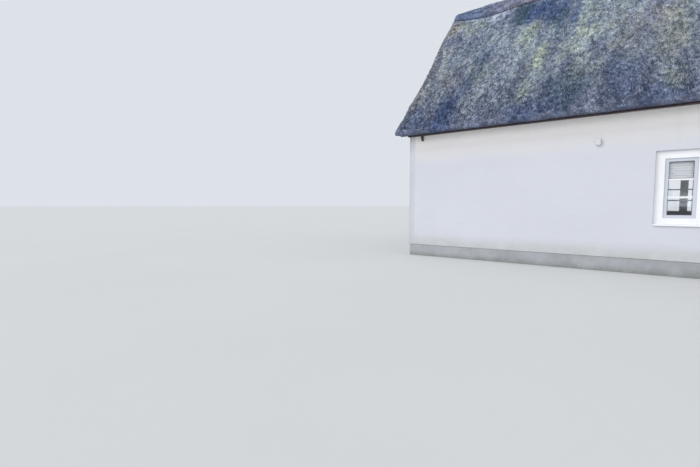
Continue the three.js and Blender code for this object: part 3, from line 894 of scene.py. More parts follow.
SLOPE_WAVES = (1.0, 0.95, 1.4, 2)
VERGE_WAVES = ((0.8, 0.34, 1.0, 3), (0.6, 0.13, 1.0, 4))
EAVE_SWAY = (0.005, 0.8, 1.0, 5)
RAGGED = ((0.40, 0.36, 0.60, 7), (0.40, 0.12, 0.20, 8), (0.30, 0.05, 0.08, 9))
TUFT_BEND = (0.5, 0.21, 0.27, 11)
CLOUDS = ((1.0, 1.2, 2.6, 20), (0.5, 0.36, 1.6, 30))
BROAD_SHARE, FINE_SHARE = 0.62, 0.38

# How strongly each kind of weathering shows where it has no named places

SPREAD = {"damp": 0.6, "algae": 0.4, "bleached": 0.4, "pale": 0.7, "moss": 0.6, "straw": 0.25}

# Weathered places of the front slope, painted shadow among the damp ones: place along the ridge,
# place down the slope, half width, half height and strength

PLACES = {
    "algae": (
        (-5.10, 0.85, 0.20, 0.60, 0.9), (-4.14, 1.70, 0.13, 0.60, 0.6), (-3.62, 4.10, 0.34, 0.65, 0.4),
        (-5.60, 2.90, 0.20, 0.60, 0.3),
    ),
    # These dark places are partly painted shadow cast on the slope and partly damp reed.
    "damp": (
        (-4.75, 0.85, 0.62, 0.55, 1.0), (-4.35, 1.05, 0.38, 0.50, 0.9), (-4.12, 1.75, 0.09, 0.55, 0.6),
        (-3.86, 1.60, 0.10, 0.60, 0.8), (-5.97, 4.50, 0.30, 0.80, 0.9), (-5.75, 3.45, 0.16, 0.35, 0.7),
        (-5.60, 2.45, 0.18, 0.32, 0.5), (-6.05, 2.95, 0.13, 0.30, 0.4), (-6.70, 1.35, 0.26, 0.28, 0.4),
        (-6.97, 1.28, 0.12, 0.26, 0.35), (-6.75, 4.40, 0.40, 0.55, 0.5), (-4.25, 4.75, 0.40, 0.35, 0.6),
        (-3.70, 4.30, 0.45, 0.60, 0.55), (-2.80, 4.05, 0.36, 0.80, 0.65), (-2.30, 4.70, 0.40, 0.35, 0.5),
        (-3.25, 3.00, 0.13, 0.50, 0.45),
    ),
    "bleached": (
        (-5.72, 0.56, 0.30, 0.24, 1.0), (-5.10, 2.90, 0.25, 0.80, 0.3), (-6.68, 0.72, 0.22, 0.18, 0.8),
    ),
    "pale": (
        (-6.55, 0.70, 0.42, 0.26, 0.8), (-4.72, 2.00, 0.22, 0.65, 0.9), (-4.35, 3.05, 0.20, 0.60, 0.9),
        (-3.95, 3.00, 0.12, 0.60, 0.6), (-3.58, 2.30, 0.30, 1.15, 0.9), (-3.00, 2.40, 0.22, 0.90, 0.55),
        (-5.45, 3.25, 0.28, 0.50, 0.55), (-5.55, 4.30, 0.16, 0.45, 0.35),
    ),
    "moss": (
        (-4.36, 3.00, 0.15, 0.45, 0.65), (-4.42, 4.05, 0.14, 0.40, 0.55), (-4.66, 1.60, 0.13, 0.30, 0.6),
        (-3.62, 3.95, 0.16, 0.55, 0.5), (-2.15, 2.85, 0.26, 0.90, 0.6), (-2.10, 4.40, 0.14, 0.30, 0.8),
        (-6.20, 1.00, 0.30, 0.25, 0.35),
    ),
    "straw": (
        (-6.86, 0.65, 0.20, 0.45, 0.9), (-6.15, 3.10, 0.45, 0.60, 0.3), (-2.45, 2.40, 0.35, 0.45, 0.5),
        (-2.80, 3.40, 0.75, 1.20, 0.3),
    ),
}


def evenly(start, end, step):
    """Points from start to end, both included, about step apart."""
    start, end = np.array(start), np.array(end)
    count = max(1, round(float(np.linalg.norm(end - start)) / step))
    share = np.linspace(0, 1, count + 1)[:, None]
    return start + (end - start) * share


def way_along(points):
    """Length of the way from the first point to each point of a line."""
    return np.concatenate([[0], np.cumsum(np.linalg.norm(np.diff(points, axis=0), axis=1))])


def stations(end, roll, steps, step):
    """Places along the ridge, closer together in the rounding of each end."""
    edge = roll * (1 - np.cos(np.linspace(0, math.pi / 2, steps + 1)))
    middle = evenly((roll - end,), (end - roll,), step)[:, 0]
    return np.concatenate([-end + edge[:-1], middle, (end - edge[:-1])[::-1]])


def slope_outline(step):
    """Outer face of a slope from the ridge round the lip to the foot of the eave, as (out, up)."""
    rise = math.tan(CUT_RISE)
    cut_edge = HALF_DEPTH + CUT_OUT
    cut_out = np.array((-math.sin(CUT_RISE), -math.cos(CUT_RISE)))
    faces = np.array(((SIN, COS), cut_out))
    depth = (APEX * COS - LIP_RADIUS, float(cut_out @ (cut_edge, CUT_Z)) - LIP_RADIUS)
    centre = np.linalg.solve(faces, depth)
    angles = np.linspace(math.pi / 2 - PITCH, -math.pi / 2 - CUT_RISE, LIP_STEPS + 1)
    around = np.stack([np.cos(angles), np.sin(angles)], axis=1)
    flat = np.sum(np.abs(around) ** LIP_SQUARENESS, axis=1) ** (-1 / LIP_SQUARENESS)
    low = (angles < 0) & (angles > -math.pi / 2)
    arc = centre + LIP_RADIUS * around * np.where(low, flat, 1.0)[:, None]
    foot = (INNER_APEX - CUT_Z - cut_edge * rise) / (TAN - rise)
    slope = evenly((0, APEX), arc[0], step)[:-1]
    under = evenly(arc[-1], (foot, INNER_APEX - TAN * foot), step)[1:]
    points = np.vstack([slope, arc, under])
    outward = np.vstack([np.tile((SIN, COS), (len(slope), 1)), around, np.tile(cut_out, (len(under), 1))])
    run = way_along(points)
    return points, outward, run, run[len(slope)], run[len(slope) + LIP_STEPS]


def verge_pull(side, down, seed, look):
    """How far the verge lies inside the roof's full length: a bulge above a hollow, and small waves."""
    bulge = bell(down - VERGE_BULGE_AT, VERGE_BULGE_REACH)
    hollow = bell(down - VERGE_HOLLOW_AT, VERGE_HOLLOW_REACH)
    free = 1 - ease((down - VERGE_QUIET_AT) / 0.5)
    uneven = look.scallop * hills(down, side * np.ones_like(down), seed, *VERGE_WAVES) * (1 - 0.6 * bulge)
    pull = VERGE_INSET + VERGE_HOLLOW * hollow - VERGE_BULGE * bulge + uneven
    pull = pull * free + EAVE_REST * (1 - free)
    level = ease((down - 0.10) / 0.30)
    return np.clip(pull * level + VERGE_REST * (1 - level), VERGE_INSET_LEAST, None)


def cap_reach(x):
    """Reach of the ridge cap down each slope, at a place along the ridge."""
    inward = CAP_END - np.abs(x)
    climb = CAP_TAPER_RISE * np.maximum(0.0, 1 - inward / CAP_TAPER) ** 1.4
    wave = CAP_WAVE * (1 - np.cos(2 * math.pi * np.maximum(0.0, inward - CAP_TAPER) / CAP_WAVE_LENGTH))
    return CAP_REACH - climb - wave


def tufts(x, down, clump, seed):
    """Broad and fine hills of the weathered reed, both from about -1 to 1."""
    bend = clump * hills(x, down, seed, TUFT_BEND)
    broad = ripple(*turned(x + bend, down, clump, 1.5, 0.55), seed)
    other = ripple(*turned(x, down + bend, 0.72 * clump, 1.7, -0.9), seed + 12)
    fine = ripple(*turned(x + bend, down, 0.46 * clump, 1.4, 0.2), seed + 1)
    return 0.65 * broad + 0.5 * other, fine


def weathering(number, kind, x, down, seed, placed):
    """Strength from 0 to 1 of one kind of weathering at each place of a slope; the damp kind also carries
    painted shadow.
    """
    ragged = hills(x, down, seed, *RAGGED)
    cloud = hills(x, down, seed + number, *CLOUDS)
    far = ease((x - NEAR_PART) / 0.8) if placed else 1.0
    total = far * SPREAD[kind] * ease((cloud + 0.4 * ragged - 0.10) / 0.9)
    if kind == "straw":
        verge = 0.42 * ease((0.75 - (ROOF_END - np.abs(x))) / 0.6)
        total = np.maximum(total, verge * (1 - 0.8 * ease((down - 4.0) / 0.7)))
    for along, below, width, height, strength in PLACES[kind] if placed else ():
        distance = np.hypot((x - along) / width, (down - below) / height) + ragged
        total = np.maximum(total, strength * ease((1.45 - distance) / 1.1))
    return total


def thatch_coat(name, look, seed, placed):
    """A slope's weathered surface, closed over its verges and its underside."""
    outline, outward, run, lip_start, cut_start = slope_outline(look.step)
    x, down = np.meshgrid(stations(ROOF_END, VERGE_ROLL, VERGE_STEPS, look.step), run, indexing="ij")
    left_over = run[-1] - down
    inward = ROOF_END - np.abs(x)
    below_cap = down - cap_reach(x)

    tuft, fine = tufts(x, down, look.clump, seed)
    lumps = BROAD_SHARE * tuft + FINE_SHARE * fine
    wave = hills(x, down, seed, SLOPE_WAVES)
    low_corner = ease((0.5 - inward) / 0.4) * ease((down - lip_start + 0.5) / 0.4)
    free = ease((below_cap + 0.12) / 0.3) * (1 - 0.75 * ease((down - lip_start) / (cut_start - lip_start)))
    free *= ease(left_over / 0.12) * (1 - 0.85 * low_corner)
    sink = CAP_DEPTH + COAT_DEPTH * ease((below_cap + 0.05) / 0.05)
    height = (look.relief * (lumps - 0.15) + look.swell * (wave - 0.5)) * free
    height -= sink * ease(down / 0.05) * ease(left_over / 0.05)
    roll = VERGE_DROP * (1 - np.sqrt(1 - near(inward, VERGE_ROLL) ** 2))
    roll += VERGE_FALL_DROP * near(inward, VERGE_FALL) ** 2
    crisp = (1 - 0.75 * ease((down - lip_start + 0.6) / 0.6)) * ease((below_cap + 0.04) / 1.8)
    crisp *= 1 - 0.8 * bell(down - VERGE_BULGE_AT, VERGE_BULGE_REACH)
    height -= roll * crisp * ease(left_over / 0.25)

    sway = hills(x, 0 * x, seed, EAVE_SWAY) + EAVE_LIFT * near(inward, EAVE_LIFT_REACH) ** 2
    sway *= ease((down - lip_start + 0.45) / 0.45) * ease(left_over / 0.25)
    pull = verge_pull(np.sign(x), down, seed, look) * near(inward, INSET_REACH) ** 1.5
    x_now = x - np.sign(x) * pull * ease(left_over / 0.06)
    out = outline[:, 0] + outward[:, 0] * height
    up = outline[:, 1] + outward[:, 1] * height + sway
    points = np.stack([x_now, -out, up], axis=-1)

    fields = {
        "relief": np.clip(0.5 + 0.75 * lumps, 0, 1),
        "tone": np.full_like(x, 0.5),
        "cover": ease((below_cap + 0.07) / 0.08) * ease((lip_start + 0.02 - down) / 0.04),
        "eave": ease((down - lip_start + 0.75) / 0.7),
        "cut": ease((down - lip_start) / 0.05),
    }
    for number, kind in enumerate(SPREAD):
        fields[kind] = weathering(number, kind, x, down, seed, placed)
    # A paler band just below the cap's hem: bleached reed, and painted light that lifts the shade along the
    # hem.
    under_cap = ease((below_cap + 0.10) / 0.06) * ease((0.13 - below_cap) / 0.10)
    fields["bleached"] = np.maximum(fields["bleached"], 0.5 * under_cap)
    course = np.stack([x, down, 0 * x], axis=-1)
    uphill = np.gradient(outline, axis=0) * (1, -1)
    lay = np.zeros_like(points)
    lay[..., 1:] = uphill / np.linalg.norm(uphill, axis=1)[:, None]

    sheets = [(points, course, lay, fields, False)]
    sheets += [ridge_strip(points, fields, course)]
    sheets += [verge_end(points, fields, run, side, seed) for side in (0, -1)]
    return joined_sheets(name, sheets)


def ridge_strip(points, fields, course):
    """The upright face at the ridge, where both slopes meet."""
    share = np.linspace(0, 1, END_ROWS + 1)[None, :, None]
    top = points[:, :1]
    bottom = top * (1, 0, 0) + np.array((0, 0, INNER_APEX))
    spots = top + (bottom - top) * share
    shape = spots.shape[:2]
    plain = {name: np.broadcast_to(values[:, :1], shape) for name, values in fields.items()}
    plain["cover"] = np.zeros(shape)
    return spots, np.broadcast_to(course[:, :1], spots.shape), np.broadcast_to(UP, spots.shape), plain, True


def verge_end(points, fields, run, side, seed):
    """The end face of a slope, slightly undercut and as uneven as the verge."""
    edge = points[side]
    sign = 1 if side else -1
    share = np.linspace(0, 1, END_ROWS + 1)[None, :, None]
    part = (run / run[-1])[:, None]
    inner = np.array((0.0, 0.0, INNER_APEX)) + part * (edge[-1] * (0, 1, 1) - (0, 0, INNER_APEX))
    loose = np.minimum(1, (1 - part) * 8) * np.minimum(1, part * 12)
    inner[:, 0] = edge[:, 0] - sign * VERGE_UNDERCUT * loose[:, 0]
    spots = edge[:, None] + (inner[:, None] - edge[:, None]) * share
    shape = spots.shape[:2]
    depth = np.broadcast_to(share[..., 0] * THATCH, shape)
    down = np.broadcast_to(run[:, None], shape)
    bump = ripple(down / 0.10, depth / 0.06 + 40 * (side + 1), seed + 9)
    wide = ripple(down / 0.30, depth / 0.16 + 40 * (side + 1), seed + 10)
    free = np.sin(math.pi * share[..., 0]) * loose
    spots[..., 0] -= sign * free * VERGE_RELIEF * (1 + bump + wide)
    plain = {name: np.broadcast_to(values[side][:, None], shape).copy() for name, values in fields.items()}
    plain["relief"] = np.clip(0.5 - 0.45 * bump, 0, 1)
    plain["cut"] = np.maximum(plain["cut"], 0.7 * ease(share[..., 0] / 0.2))
    plain["cover"] = np.where(free > 0.3, 1.0, 0.0) * ease((down - 0.30) / 0.1)
    plain["straw"] = np.maximum(plain["straw"], 0.45 * ease((run[-1] - down) / 0.8))
    # The end face takes less of the damp and of the painted shadow.
    plain["damp"] = plain["damp"] * 0.3
    course = np.stack([sign * ROOF_END + 0 * depth, down, depth], axis=-1)
    lay = np.array((-sign * 0.55, COS, SIN))
    lay = np.broadcast_to(lay / np.linalg.norm(lay), spots.shape)
    return spots, course, lay, plain, side == 0


def joined_sheets(name, sheets):
    """One closed mesh out of grids that share their edges."""
    start = 0
    spots, faces, joined = [], [], {}
    for points, course, lay, fields, flip in sheets:
        rows, columns = points.shape[:2]
        spots.append(points.reshape(-1, 3))
        faces.append(grid_faces(rows, columns, start, flip))
        for field, values in {**fields, "course": course, "lay": lay}.items():
            values = np.array(values)
            joined.setdefault(field, []).append(values.reshape(rows * columns, *values.shape[2:]))
        start += rows * columns
    fields = {field: np.concatenate(values) for field, values in joined.items()}
    return closed(sheet(np.vstack(spots), np.vstack(faces), fields, name))


def make_thatch(look, material):
    """Both slopes with their reed ends. The rear is drawn as a front and turned round."""
    rule = straw_rule(material)
    low = (-ROOF_END, -EAVE_EDGE, CUT_Z - 0.004)
    high = (ROOF_END, -0.0002, APEX + CAP_THICKNESS)
    for number, (side, halves) in enumerate(SLOPES.items()):
        seed = look.seed + 100 * number
        coat = thatch_coat(f"{side}_thatch_coat", look, seed, side == "front")
        bounds = ((-ROOF_END, 0.0), (0.0, ROOF_END))
        ends = [strewn(coat.copy(), rule, look, *bound, seed) for bound in bounds]
        for mesh in (coat, *ends):
            keep_inside(mesh, low, high)
            mesh.transform(Matrix.Rotation(math.pi * number, 4, "Z"))
        coat.shade_smooth()
        ride(put(f"{side}_thatch_coat", coat, material), "reed_thatch", f"{side}_thatch")
        for half, mesh in zip(halves, ends):
            ride(put(f"{side}_{half}_reed_ends", mesh), "reed_thatch")


# Ridge cap

CAP_END_ROUND = 0.10
CAP_END_STEPS = 8
CAP_END_THINNER = 0.62  # share of its thickness that the cap loses at its very ends
CAP_LUMPS = ((0.7, 0.16, 0.14, 0), (0.4, 0.06, 0.08, 1))
CAP_SWELL = (1.0, 0.7, 0.5, 2)
CAP_SWELL_HEIGHT = 0.008
HEM_WAVES = (0.014, 0.22, 1.0, 3)
HEM_REACH = 0.12
UP = np.array((0.0, 0.0, 1.0))


def cap_outline(reach, thickness, crest):
    """Upper face of the cap over one slope, as (out, up), from its lower edge to the crest."""
    slope_angle = math.pi / 2 - PITCH
    low = np.array((reach * COS, APEX - reach * SIN))
    edge = low + thickness * np.array((SIN, COS))
    shoulder = edge + thickness * np.array((-COS, SIN))
    t = np.linspace(0, 1, 7)[:, None]
    nose = (1 - t) ** 2 * low + 2 * t * (1 - t) * edge + t**2 * shoulder
    crest_z = APEX + (thickness - crest) / COS
    tangent = np.array((crest * math.cos(slope_angle), crest_z + crest * math.sin(slope_angle)))
    share = np.linspace(0, 1, 13)[1:, None]
    face = shoulder + (tangent - shoulder) * share
    angles = np.linspace(slope_angle, math.pi / 2, 6)[1:]
    top = np.stack([crest * np.cos(angles), crest_z + crest * np.sin(angles)], axis=1)
    return np.vstack([nose, face, top])


def cap_ring(x):
    """Section of the cap from hem to hem at a place along the ridge, and its outward directions."""
    thin = 1 - math.sqrt(1 - max(0.0, 1 - (CAP_END - abs(x)) / CAP_END_ROUND) ** 2)
    half = cap_outline(float(cap_reach(x)), CAP_THICKNESS * (1 - CAP_END_THINNER * thin), CAP_CREST)
    ring = np.vstack([half * (-1, 1), half[-2::-1]])
    across = np.gradient(ring, axis=0)
    across /= np.linalg.norm(across, axis=1)[:, None]
    return ring, np.stack([-across[:, 1], across[:, 0]], axis=1)


def heather_cap(look):
    """The cap's closed mesh, with rounded and cut-back ends."""
    along = stations(CAP_END, CAP_END_ROUND, CAP_END_STEPS, look.step)
    rings, normals = (np.array(part) for part in zip(*map(cap_ring, along)))
    run = way_along(rings[len(along) // 2])
    x, s = np.meshgrid(along, run, indexing="ij")
    lumps = hills(x, s, look.seed, *CAP_LUMPS)
    swell = hills(x, s, look.seed, CAP_SWELL)
    free = np.sin(math.pi * np.clip(s / run[-1], 0, 1)) ** 0.25
    height = free * (look.relief * (lumps - 0.5) + CAP_SWELL_HEIGHT * (swell - 0.8))
    rings = rings + normals * height[..., None]
    side = np.where(s < run[-1] / 2, -1.0, 1.0)
    hem = hills(x, 0 * x + np.sign(s - run[-1] / 2), look.seed, HEM_WAVES)
    hem *= ease((HEM_REACH - np.minimum(s, run[-1] - s)) / HEM_REACH)
    rings[..., 0] += side * hem * COS
    rings[..., 1] -= hem * SIN
    points = np.concatenate([x[..., None], rings], axis=-1)
    top = ease(1 - np.abs(s / run[-1] - 0.5) / 0.22)
    fields = {
        "relief": np.clip(0.5 + 0.6 * lumps, 0, 1),
        "tone": np.full_like(x, 0.5),
        "cover": ease((CAP_END - np.abs(x) - 0.10) / 0.20) * (1 - 0.6 * top),
    }
    crest = top[..., None]
    lay = (1 - crest) * np.stack([0 * x, -side * COS, 0 * x + SIN], axis=-1) + crest * (1, 0, 0)
    lay /= np.linalg.norm(lay, axis=-1)[..., None]
    y = points[:, :1, 1] + (points[:, -1:, 1] - points[:, :1, 1]) * run / run[-1]
    inside = np.stack([x, y, APEX - np.abs(y) * TAN], axis=-1)
    left, right = (np.stack([points[i], inside[i]], axis=1) for i in (0, -1))
    sheets = [(points, points, lay, fields, True)]
    for hidden, flip in ((inside, False), (left, False), (right, True)):
        bare = {name: np.full(hidden.shape[:2], 0.0 if name == "cover" else 0.5) for name in fields}
        sheets.append((hidden, hidden, np.broadcast_to(UP, hidden.shape), bare, flip))
    return joined_sheets("ridge_heather", sheets)


def make_ridge(look, material):
    cap = heather_cap(look)
    twigs = strewn(cap, straw_rule(material), look, -CAP_END, CAP_END, look.seed)
    low = (-CAP_END - 0.02, -CAP_REACH - THATCH, 0)
    high = (CAP_END + 0.02, CAP_REACH + THATCH, CAP_TOP)
    for mesh in (cap, twigs):
        keep_inside(mesh, low, high)
    cap.shade_smooth()
    ride(put("ridge_heather", cap, material), "heather", "ridge_cap")
    ride(put("ridge_twigs", twigs), "heather")


# Walls, timber and fittings

BRACKET_FOOT = 0.022  # thickness of the bracket along the wall
BRACKET_HEAD = 0.016  # its thickness under the eave
EAVE_BOARD_EASING = 0.002
VERGE_BOARD_EASING = 0.003
SENSOR_EASING = 0.010


def dress(node, width, slot, material, steps=2):
    """Puts an eased copy in a solid's place."""
    return ride(put(f"{node}_finish", eased(node, width, steps), material), slot, node)


def coat_solid(node, material):
    """Gives a solid that stays as it is its material."""
    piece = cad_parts[node]
    piece.data.materials.clear()
    piece.data.materials.append(material)


def make_walls(look):
    plaster = plaster_finish(look)
    for node in ("front_wall", "rear_wall", "left_gable_wall", "right_gable_wall"):
        dress(node, look.easing, "white_plaster", plaster)
    dress("plinth", look.easing, "plinth", plinth_finish(look))


def make_brackets(look, material):
    """Slender brackets under the eave, whose feet curve back to the wall."""
    for side in ("left", "right"):
        node = f"front_{side}_eave_bracket"
        low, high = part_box(node)
        deep, tall = high.y - low.y - BRACKET_FOOT, high.z - low.z - BRACKET_HEAD
        curve = [
            (high.y - BRACKET_FOOT - deep * math.sin(t), low.z + tall * (1 - math.cos(t)))
            for t in np.linspace(0, math.pi / 2, 9)
        ]
        work = bmesh.new()
        add_bar(work, [(high.y, high.z), (high.y, low.z), *curve, (low.y, high.z)], low.x, high.x)
        round_edges(work, sharp_edges(work, 30), look.easing)
        fit(f"{node}_finish", work, material, "dark_timber", node)


def make_floors(tint):
    coat_solid("ground_floor", screed_finish())
    coat_solid("loft_floor", boards_finish(tint))


def make_timber(look):
    dark_long = timber_finish("dark_timber_long", look.timber, 0)
    dark_up = timber_finish("dark_timber_upright", look.timber, 2)
    plate = timber_finish("plate_timber", linear("9a7a58"), 0)
    for side in ("front", "rear"):
        dress(f"{side}_eave_board", EAVE_BOARD_EASING, "dark_timber", dark_long)
        coat_solid(f"{side}_wall_plate", plate)
    for side in ("left", "right"):
        dress(f"{side}_verge_board", VERGE_BOARD_EASING, "dark_timber", dark_up)
    make_brackets(look, dark_up)
    coat_solid("rafters", timber_finish("rafter_timber", linear("94744f"), 1))


# Windows

GLASS_FRONT = WINDOW_SETBACK + WINDOW_DEPTH - GLASS_THICKNESS - 0.0006
BAR_EASING = 0.004
BAR_TUCK = 0.004  # how far a glazing bar runs into its sash
SEAL_WIDTH = 0.007
SEAL_PROUD = 0.006
SEAL_EASING = 0.0015
SLAT_THICKNESS = 0.0012
SLAT_POINTS = 5
RAIL_HEIGHT = 0.030
FOOT_HEIGHT = 0.018
BLIND_GAP = 0.004
CORD_HALF = 0.001


def wall_of(name):
    """A matrix from the own frame of a window's wall, and the window's lowest and highest point."""
    low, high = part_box(f"{name}_window_frame")
    turn = TURNS[name.split("_")[0]]
    distance = HALF_DEPTH if turn % 180 == 0 else HALF_LENGTH
    spin = Matrix.Rotation(math.radians(turn), 4, "Z")
    centre = spin.inverted() @ ((low + high) / 2)
    return spin @ Matrix.Translation((centre.x, -distance, 0)), low.z, high.z


def panes(name):
    """Both panes of a window in its wall's frame: (left, right, bottom, top)."""
    low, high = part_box(f"{name}_window_frame")
    edge = WINDOW_FIXED + WINDOW_STILE
    near_post = WINDOW_POST / 2 + WINDOW_STILE
    far = max(high.x - low.x, high.y - low.y) / 2 - edge
    sides = ((-far, -near_post), (near_post, far))
    return [(left, right, low.z + edge, high.z - edge) for left, right in sides]


def make_bars(name, look, paint, rule):
    """Two glazing bars across each sash, which make three panes of it."""
    merged = bmesh.new()
    for left, right, bottom, top in panes(name):
        step = (top - bottom) / 3
        work = bmesh.new()
        low = (left - BAR_TUCK, GLASS_FRONT - look.bar_depth, bottom + step - look.bar_width / 2)
        high = (right + BAR_TUCK, GLASS_FRONT, bottom + step + look.bar_width / 2)
        add_block(work, low, high, BAR_EASING)
        merged.from_mesh(grown(mesh_from(work, "bar"), rule, Count=2, Step=(0.0, 0.0, step)))
    fit(f"{name}_window_bars", merged, paint, "white_paint", place=wall_of(name)[0])


def tint_sashes(name, frame_piece, sash_paint):
    """Gives a window's sashes their own paint: what lies inside the casing, behind its face."""
    place, bottom, top = wall_of(name)
    back = place.inverted()
    half = max(frame_piece.dimensions.x, frame_piece.dimensions.y) / 2
    frame_piece.data.materials.append(sash_paint)
    for face in frame_piece.data.polygons:
        spot = back @ face.center
        margin = min(half - abs(spot.x), spot.z - bottom, top - spot.z)
        if margin > WINDOW_FIXED - 0.001 and spot.y > WINDOW_SETBACK + SASH_SETBACK / 2:
            face.material_index = 1


def make_gaskets(name, rubber):
    """Narrow seals where the glass meets each sash."""
    work = bmesh.new()
    for left, right, bottom, top in panes(name):
        low = (left, GLASS_FRONT - SEAL_PROUD, bottom)
        add_frame(work, low, (right, GLASS_FRONT, top), SEAL_WIDTH, SEAL_EASING)
    fit(f"{name}_window_seals", work, rubber, "white_paint", place=wall_of(name)[0])


def slat(half, width, tilt, y, z):
    """One curved slat with closed ends. Its crown faces out and its lower edge comes forward."""
    middle = []
    for t in np.linspace(-1, 1, SLAT_POINTS).tolist():
        across, crown = t * width / 2, 0.08 * width * (1 - t * t)
        out = across * math.cos(tilt) - crown * math.sin(tilt)
        up = across * math.sin(tilt) + crown * math.cos(tilt)
        middle.append((y + out, z + up))
    upper = [(a, b + SLAT_THICKNESS / 2) for a, b in middle]
    lower = [(a, b - SLAT_THICKNESS / 2) for a, b in reversed(middle)]
    work = bmesh.new()
    add_bar(work, upper + lower, -half, half)
    return mesh_from(work, "slat")


def make_blind(name, look, lacquer, rule):
    """A slatted blind with its head rail, bottom rail and ladder cords."""
    node = f"{name}_window_blind"
    low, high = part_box(node)
    half = (high.x - low.x) / 2
    front, back = low.y + HALF_DEPTH, high.y + HALF_DEPTH
    head, foot = high.z - RAIL_HEIGHT, low.z + FOOT_HEIGHT
    first = slat(
        half - BLIND_GAP, look.slat_width, look.slat_tilt, (front + back) / 2, head - look.slat_pitch * 0.5
    )
    count = int((head - foot) / look.slat_pitch)
    work = bmesh.new()
    work.from_mesh(grown(first, rule, Count=count, Step=(0.0, 0.0, -look.slat_pitch)))
    add_block(work, (-half, front, head), (half, back, high.z), 0.002)
    inner = half - BLIND_GAP
    add_block(work, (-inner, front + BLIND_GAP, low.z), (inner, back - BLIND_GAP, foot), 0.003)
    for x in (-0.6 * half, 0.6 * half):
        for y in (front + 2 * CORD_HALF, back - 2 * CORD_HALF):
            corner = (x - CORD_HALF, y - CORD_HALF, foot)
            add_block(work, corner, (x + CORD_HALF, y + CORD_HALF, head))
    fit(f"{name}_blind_slats", work, lacquer, "blind_slats", node, place=wall_of(name)[0])


def make_windows(look):
    paint = paint_finish("white_paint", look.paint)
    sash_paint = paint_finish("sash_paint", look.sash)
    glass = glass_finish()
    rubber = gasket_finish()
    lacquer = slats_finish(look.slats)
    bar_rule = row_rule(paint)
    slat_rule = row_rule(lacquer)
    for name in WINDOWS:
        tint_sashes(name, dress(f"{name}_window_frame", look.easing, "white_paint", paint), sash_paint)
        dress(f"{name}_window_sill", look.easing * 2, "white_paint", paint)
        coat_solid(f"{name}_window_glass", glass)
        make_bars(name, look, paint, bar_rule)
        make_gaskets(name, rubber)
    for name in ("front_left", "front_right"):
        make_blind(name, look, lacquer, slat_rule)


# Door

GLASS_REBATE = 0.0117  # how far the door's glass runs behind its stiles
DOOR_BAR_SHARE = 0.8  # of a window's glazing bar
MUNTIN_HALF = 0.045
PANEL_BOTTOM = 0.320
PANEL_TOP = 1.060
PANEL_BACK = 0.0118  # from the leaf's face to the panel
MOULDING_WIDTH = 0.018
MOULDING_GAP = 0.001
FIELD_MARGIN = 0.045
FIELD_FRONT = 0.004  # from the leaf's face to the raised field
WEATHER_BAR = (0.205, 0.245)  # its lower and upper edge
WEATHER_BAR_PROUD = 0.028
WEATHER_BAR_EASING = 0.008
HINGES_AT = (0.42, 1.15, 1.90)
HINGE_RADIUS = 0.0065
HINGE_HEIGHT = 0.09
STEP_EASING = 0.010


def add_glazing_bars(work, look, half):
    """Two bars across the door's glass and one upright."""
    low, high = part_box("door_glass")
    front = low.y - 0.0003
    bottom, top = low.z + GLASS_REBATE, high.z - GLASS_REBATE
    bar = look.bar_width * DOOR_BAR_SHARE / 2
    for share in (1 / 3, 2 / 3):
        z = bottom + (top - bottom) * share
        add_block(work, (-half, front - look.bar_depth, z - bar), (half, front, z + bar), BAR_EASING)
    add_block(work, (-bar, front - look.bar_depth - 0.001, bottom), (bar, front, top), BAR_EASING)


def add_panel(work, left, right, face):
    """One lower panel, with a moulding round its raised field."""
    back = face + PANEL_BACK
    low = (left + MOULDING_GAP, face + MOULDING_GAP, PANEL_BOTTOM + MOULDING_GAP)
    high = (right - MOULDING_GAP, back, PANEL_TOP - MOULDING_GAP)
    add_frame(work, low, high, MOULDING_WIDTH, 0.004)
    low = (left + FIELD_MARGIN, face + FIELD_FRONT, PANEL_BOTTOM + FIELD_MARGIN)
    add_block(work, low, (right - FIELD_MARGIN, back, PANEL_TOP - FIELD_MARGIN), 0.0035)


def make_door(look):
    paint = paint_finish("door_paint", look.paint, 0.30)
    steel = steel_finish()
    dress("door_frame", look.easing, "white_paint", paint)
    dress("door_leaf", look.easing, "white_paint", paint)
    dress("doorstep", STEP_EASING, "step_stone", stone_finish(), 3)
    coat_solid("door_glass", glass_finish())
    coat_solid("door_handle", steel)

    low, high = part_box("door_leaf")
    half, face = high.x - DOOR_STILE, low.y
    work = bmesh.new()
    add_glazing_bars(work, look, half)
    add_panel(work, -half, -MUNTIN_HALF, face)
    add_panel(work, MUNTIN_HALF, half, face)
    bottom, top = WEATHER_BAR
    corner = (high.x - 0.004, face - 0.0002, top)
    add_block(work, (low.x + 0.004, face - WEATHER_BAR_PROUD, bottom), corner, WEATHER_BAR_EASING)
    fit("door_mouldings", work, paint, "white_paint")

    hinges = bmesh.new()
    shape = {"radius1": HINGE_RADIUS, "radius2": HINGE_RADIUS, "depth": HINGE_HEIGHT}
    for z in HINGES_AT:
        place = Matrix.Translation((low.x - 0.001, face - 0.007, z))
        bmesh.ops.create_cone(hinges, cap_ends=True, segments=16, matrix=place, **shape)
    fit("door_hinges", hinges, steel, "handle_steel")


def make_fittings():
    plastic = paint_finish("white_plastic", linear("d7d9dd"), 0.45)
    dress("wall_sensor", SENSOR_EASING, "white_plastic", plastic, 3)


# Stage

PHOTO_WIDTH = 700
FOCAL_PIXELS = 400
SENSOR_WIDTH = 36.0
CAMERA_FROM_CORNER = Vector((4.614, -8.186, 1.150))
CAMERA_YAW = math.radians(-37.812)
CAMERA_PITCH = math.radians(-4.085)
KEY_FROM = Vector((-0.60, -0.95, 0.62))
FILL_FROM = Vector((0.35, -1.00, 0.12))
WARM_WHITE = (1.0, 0.975, 0.94)


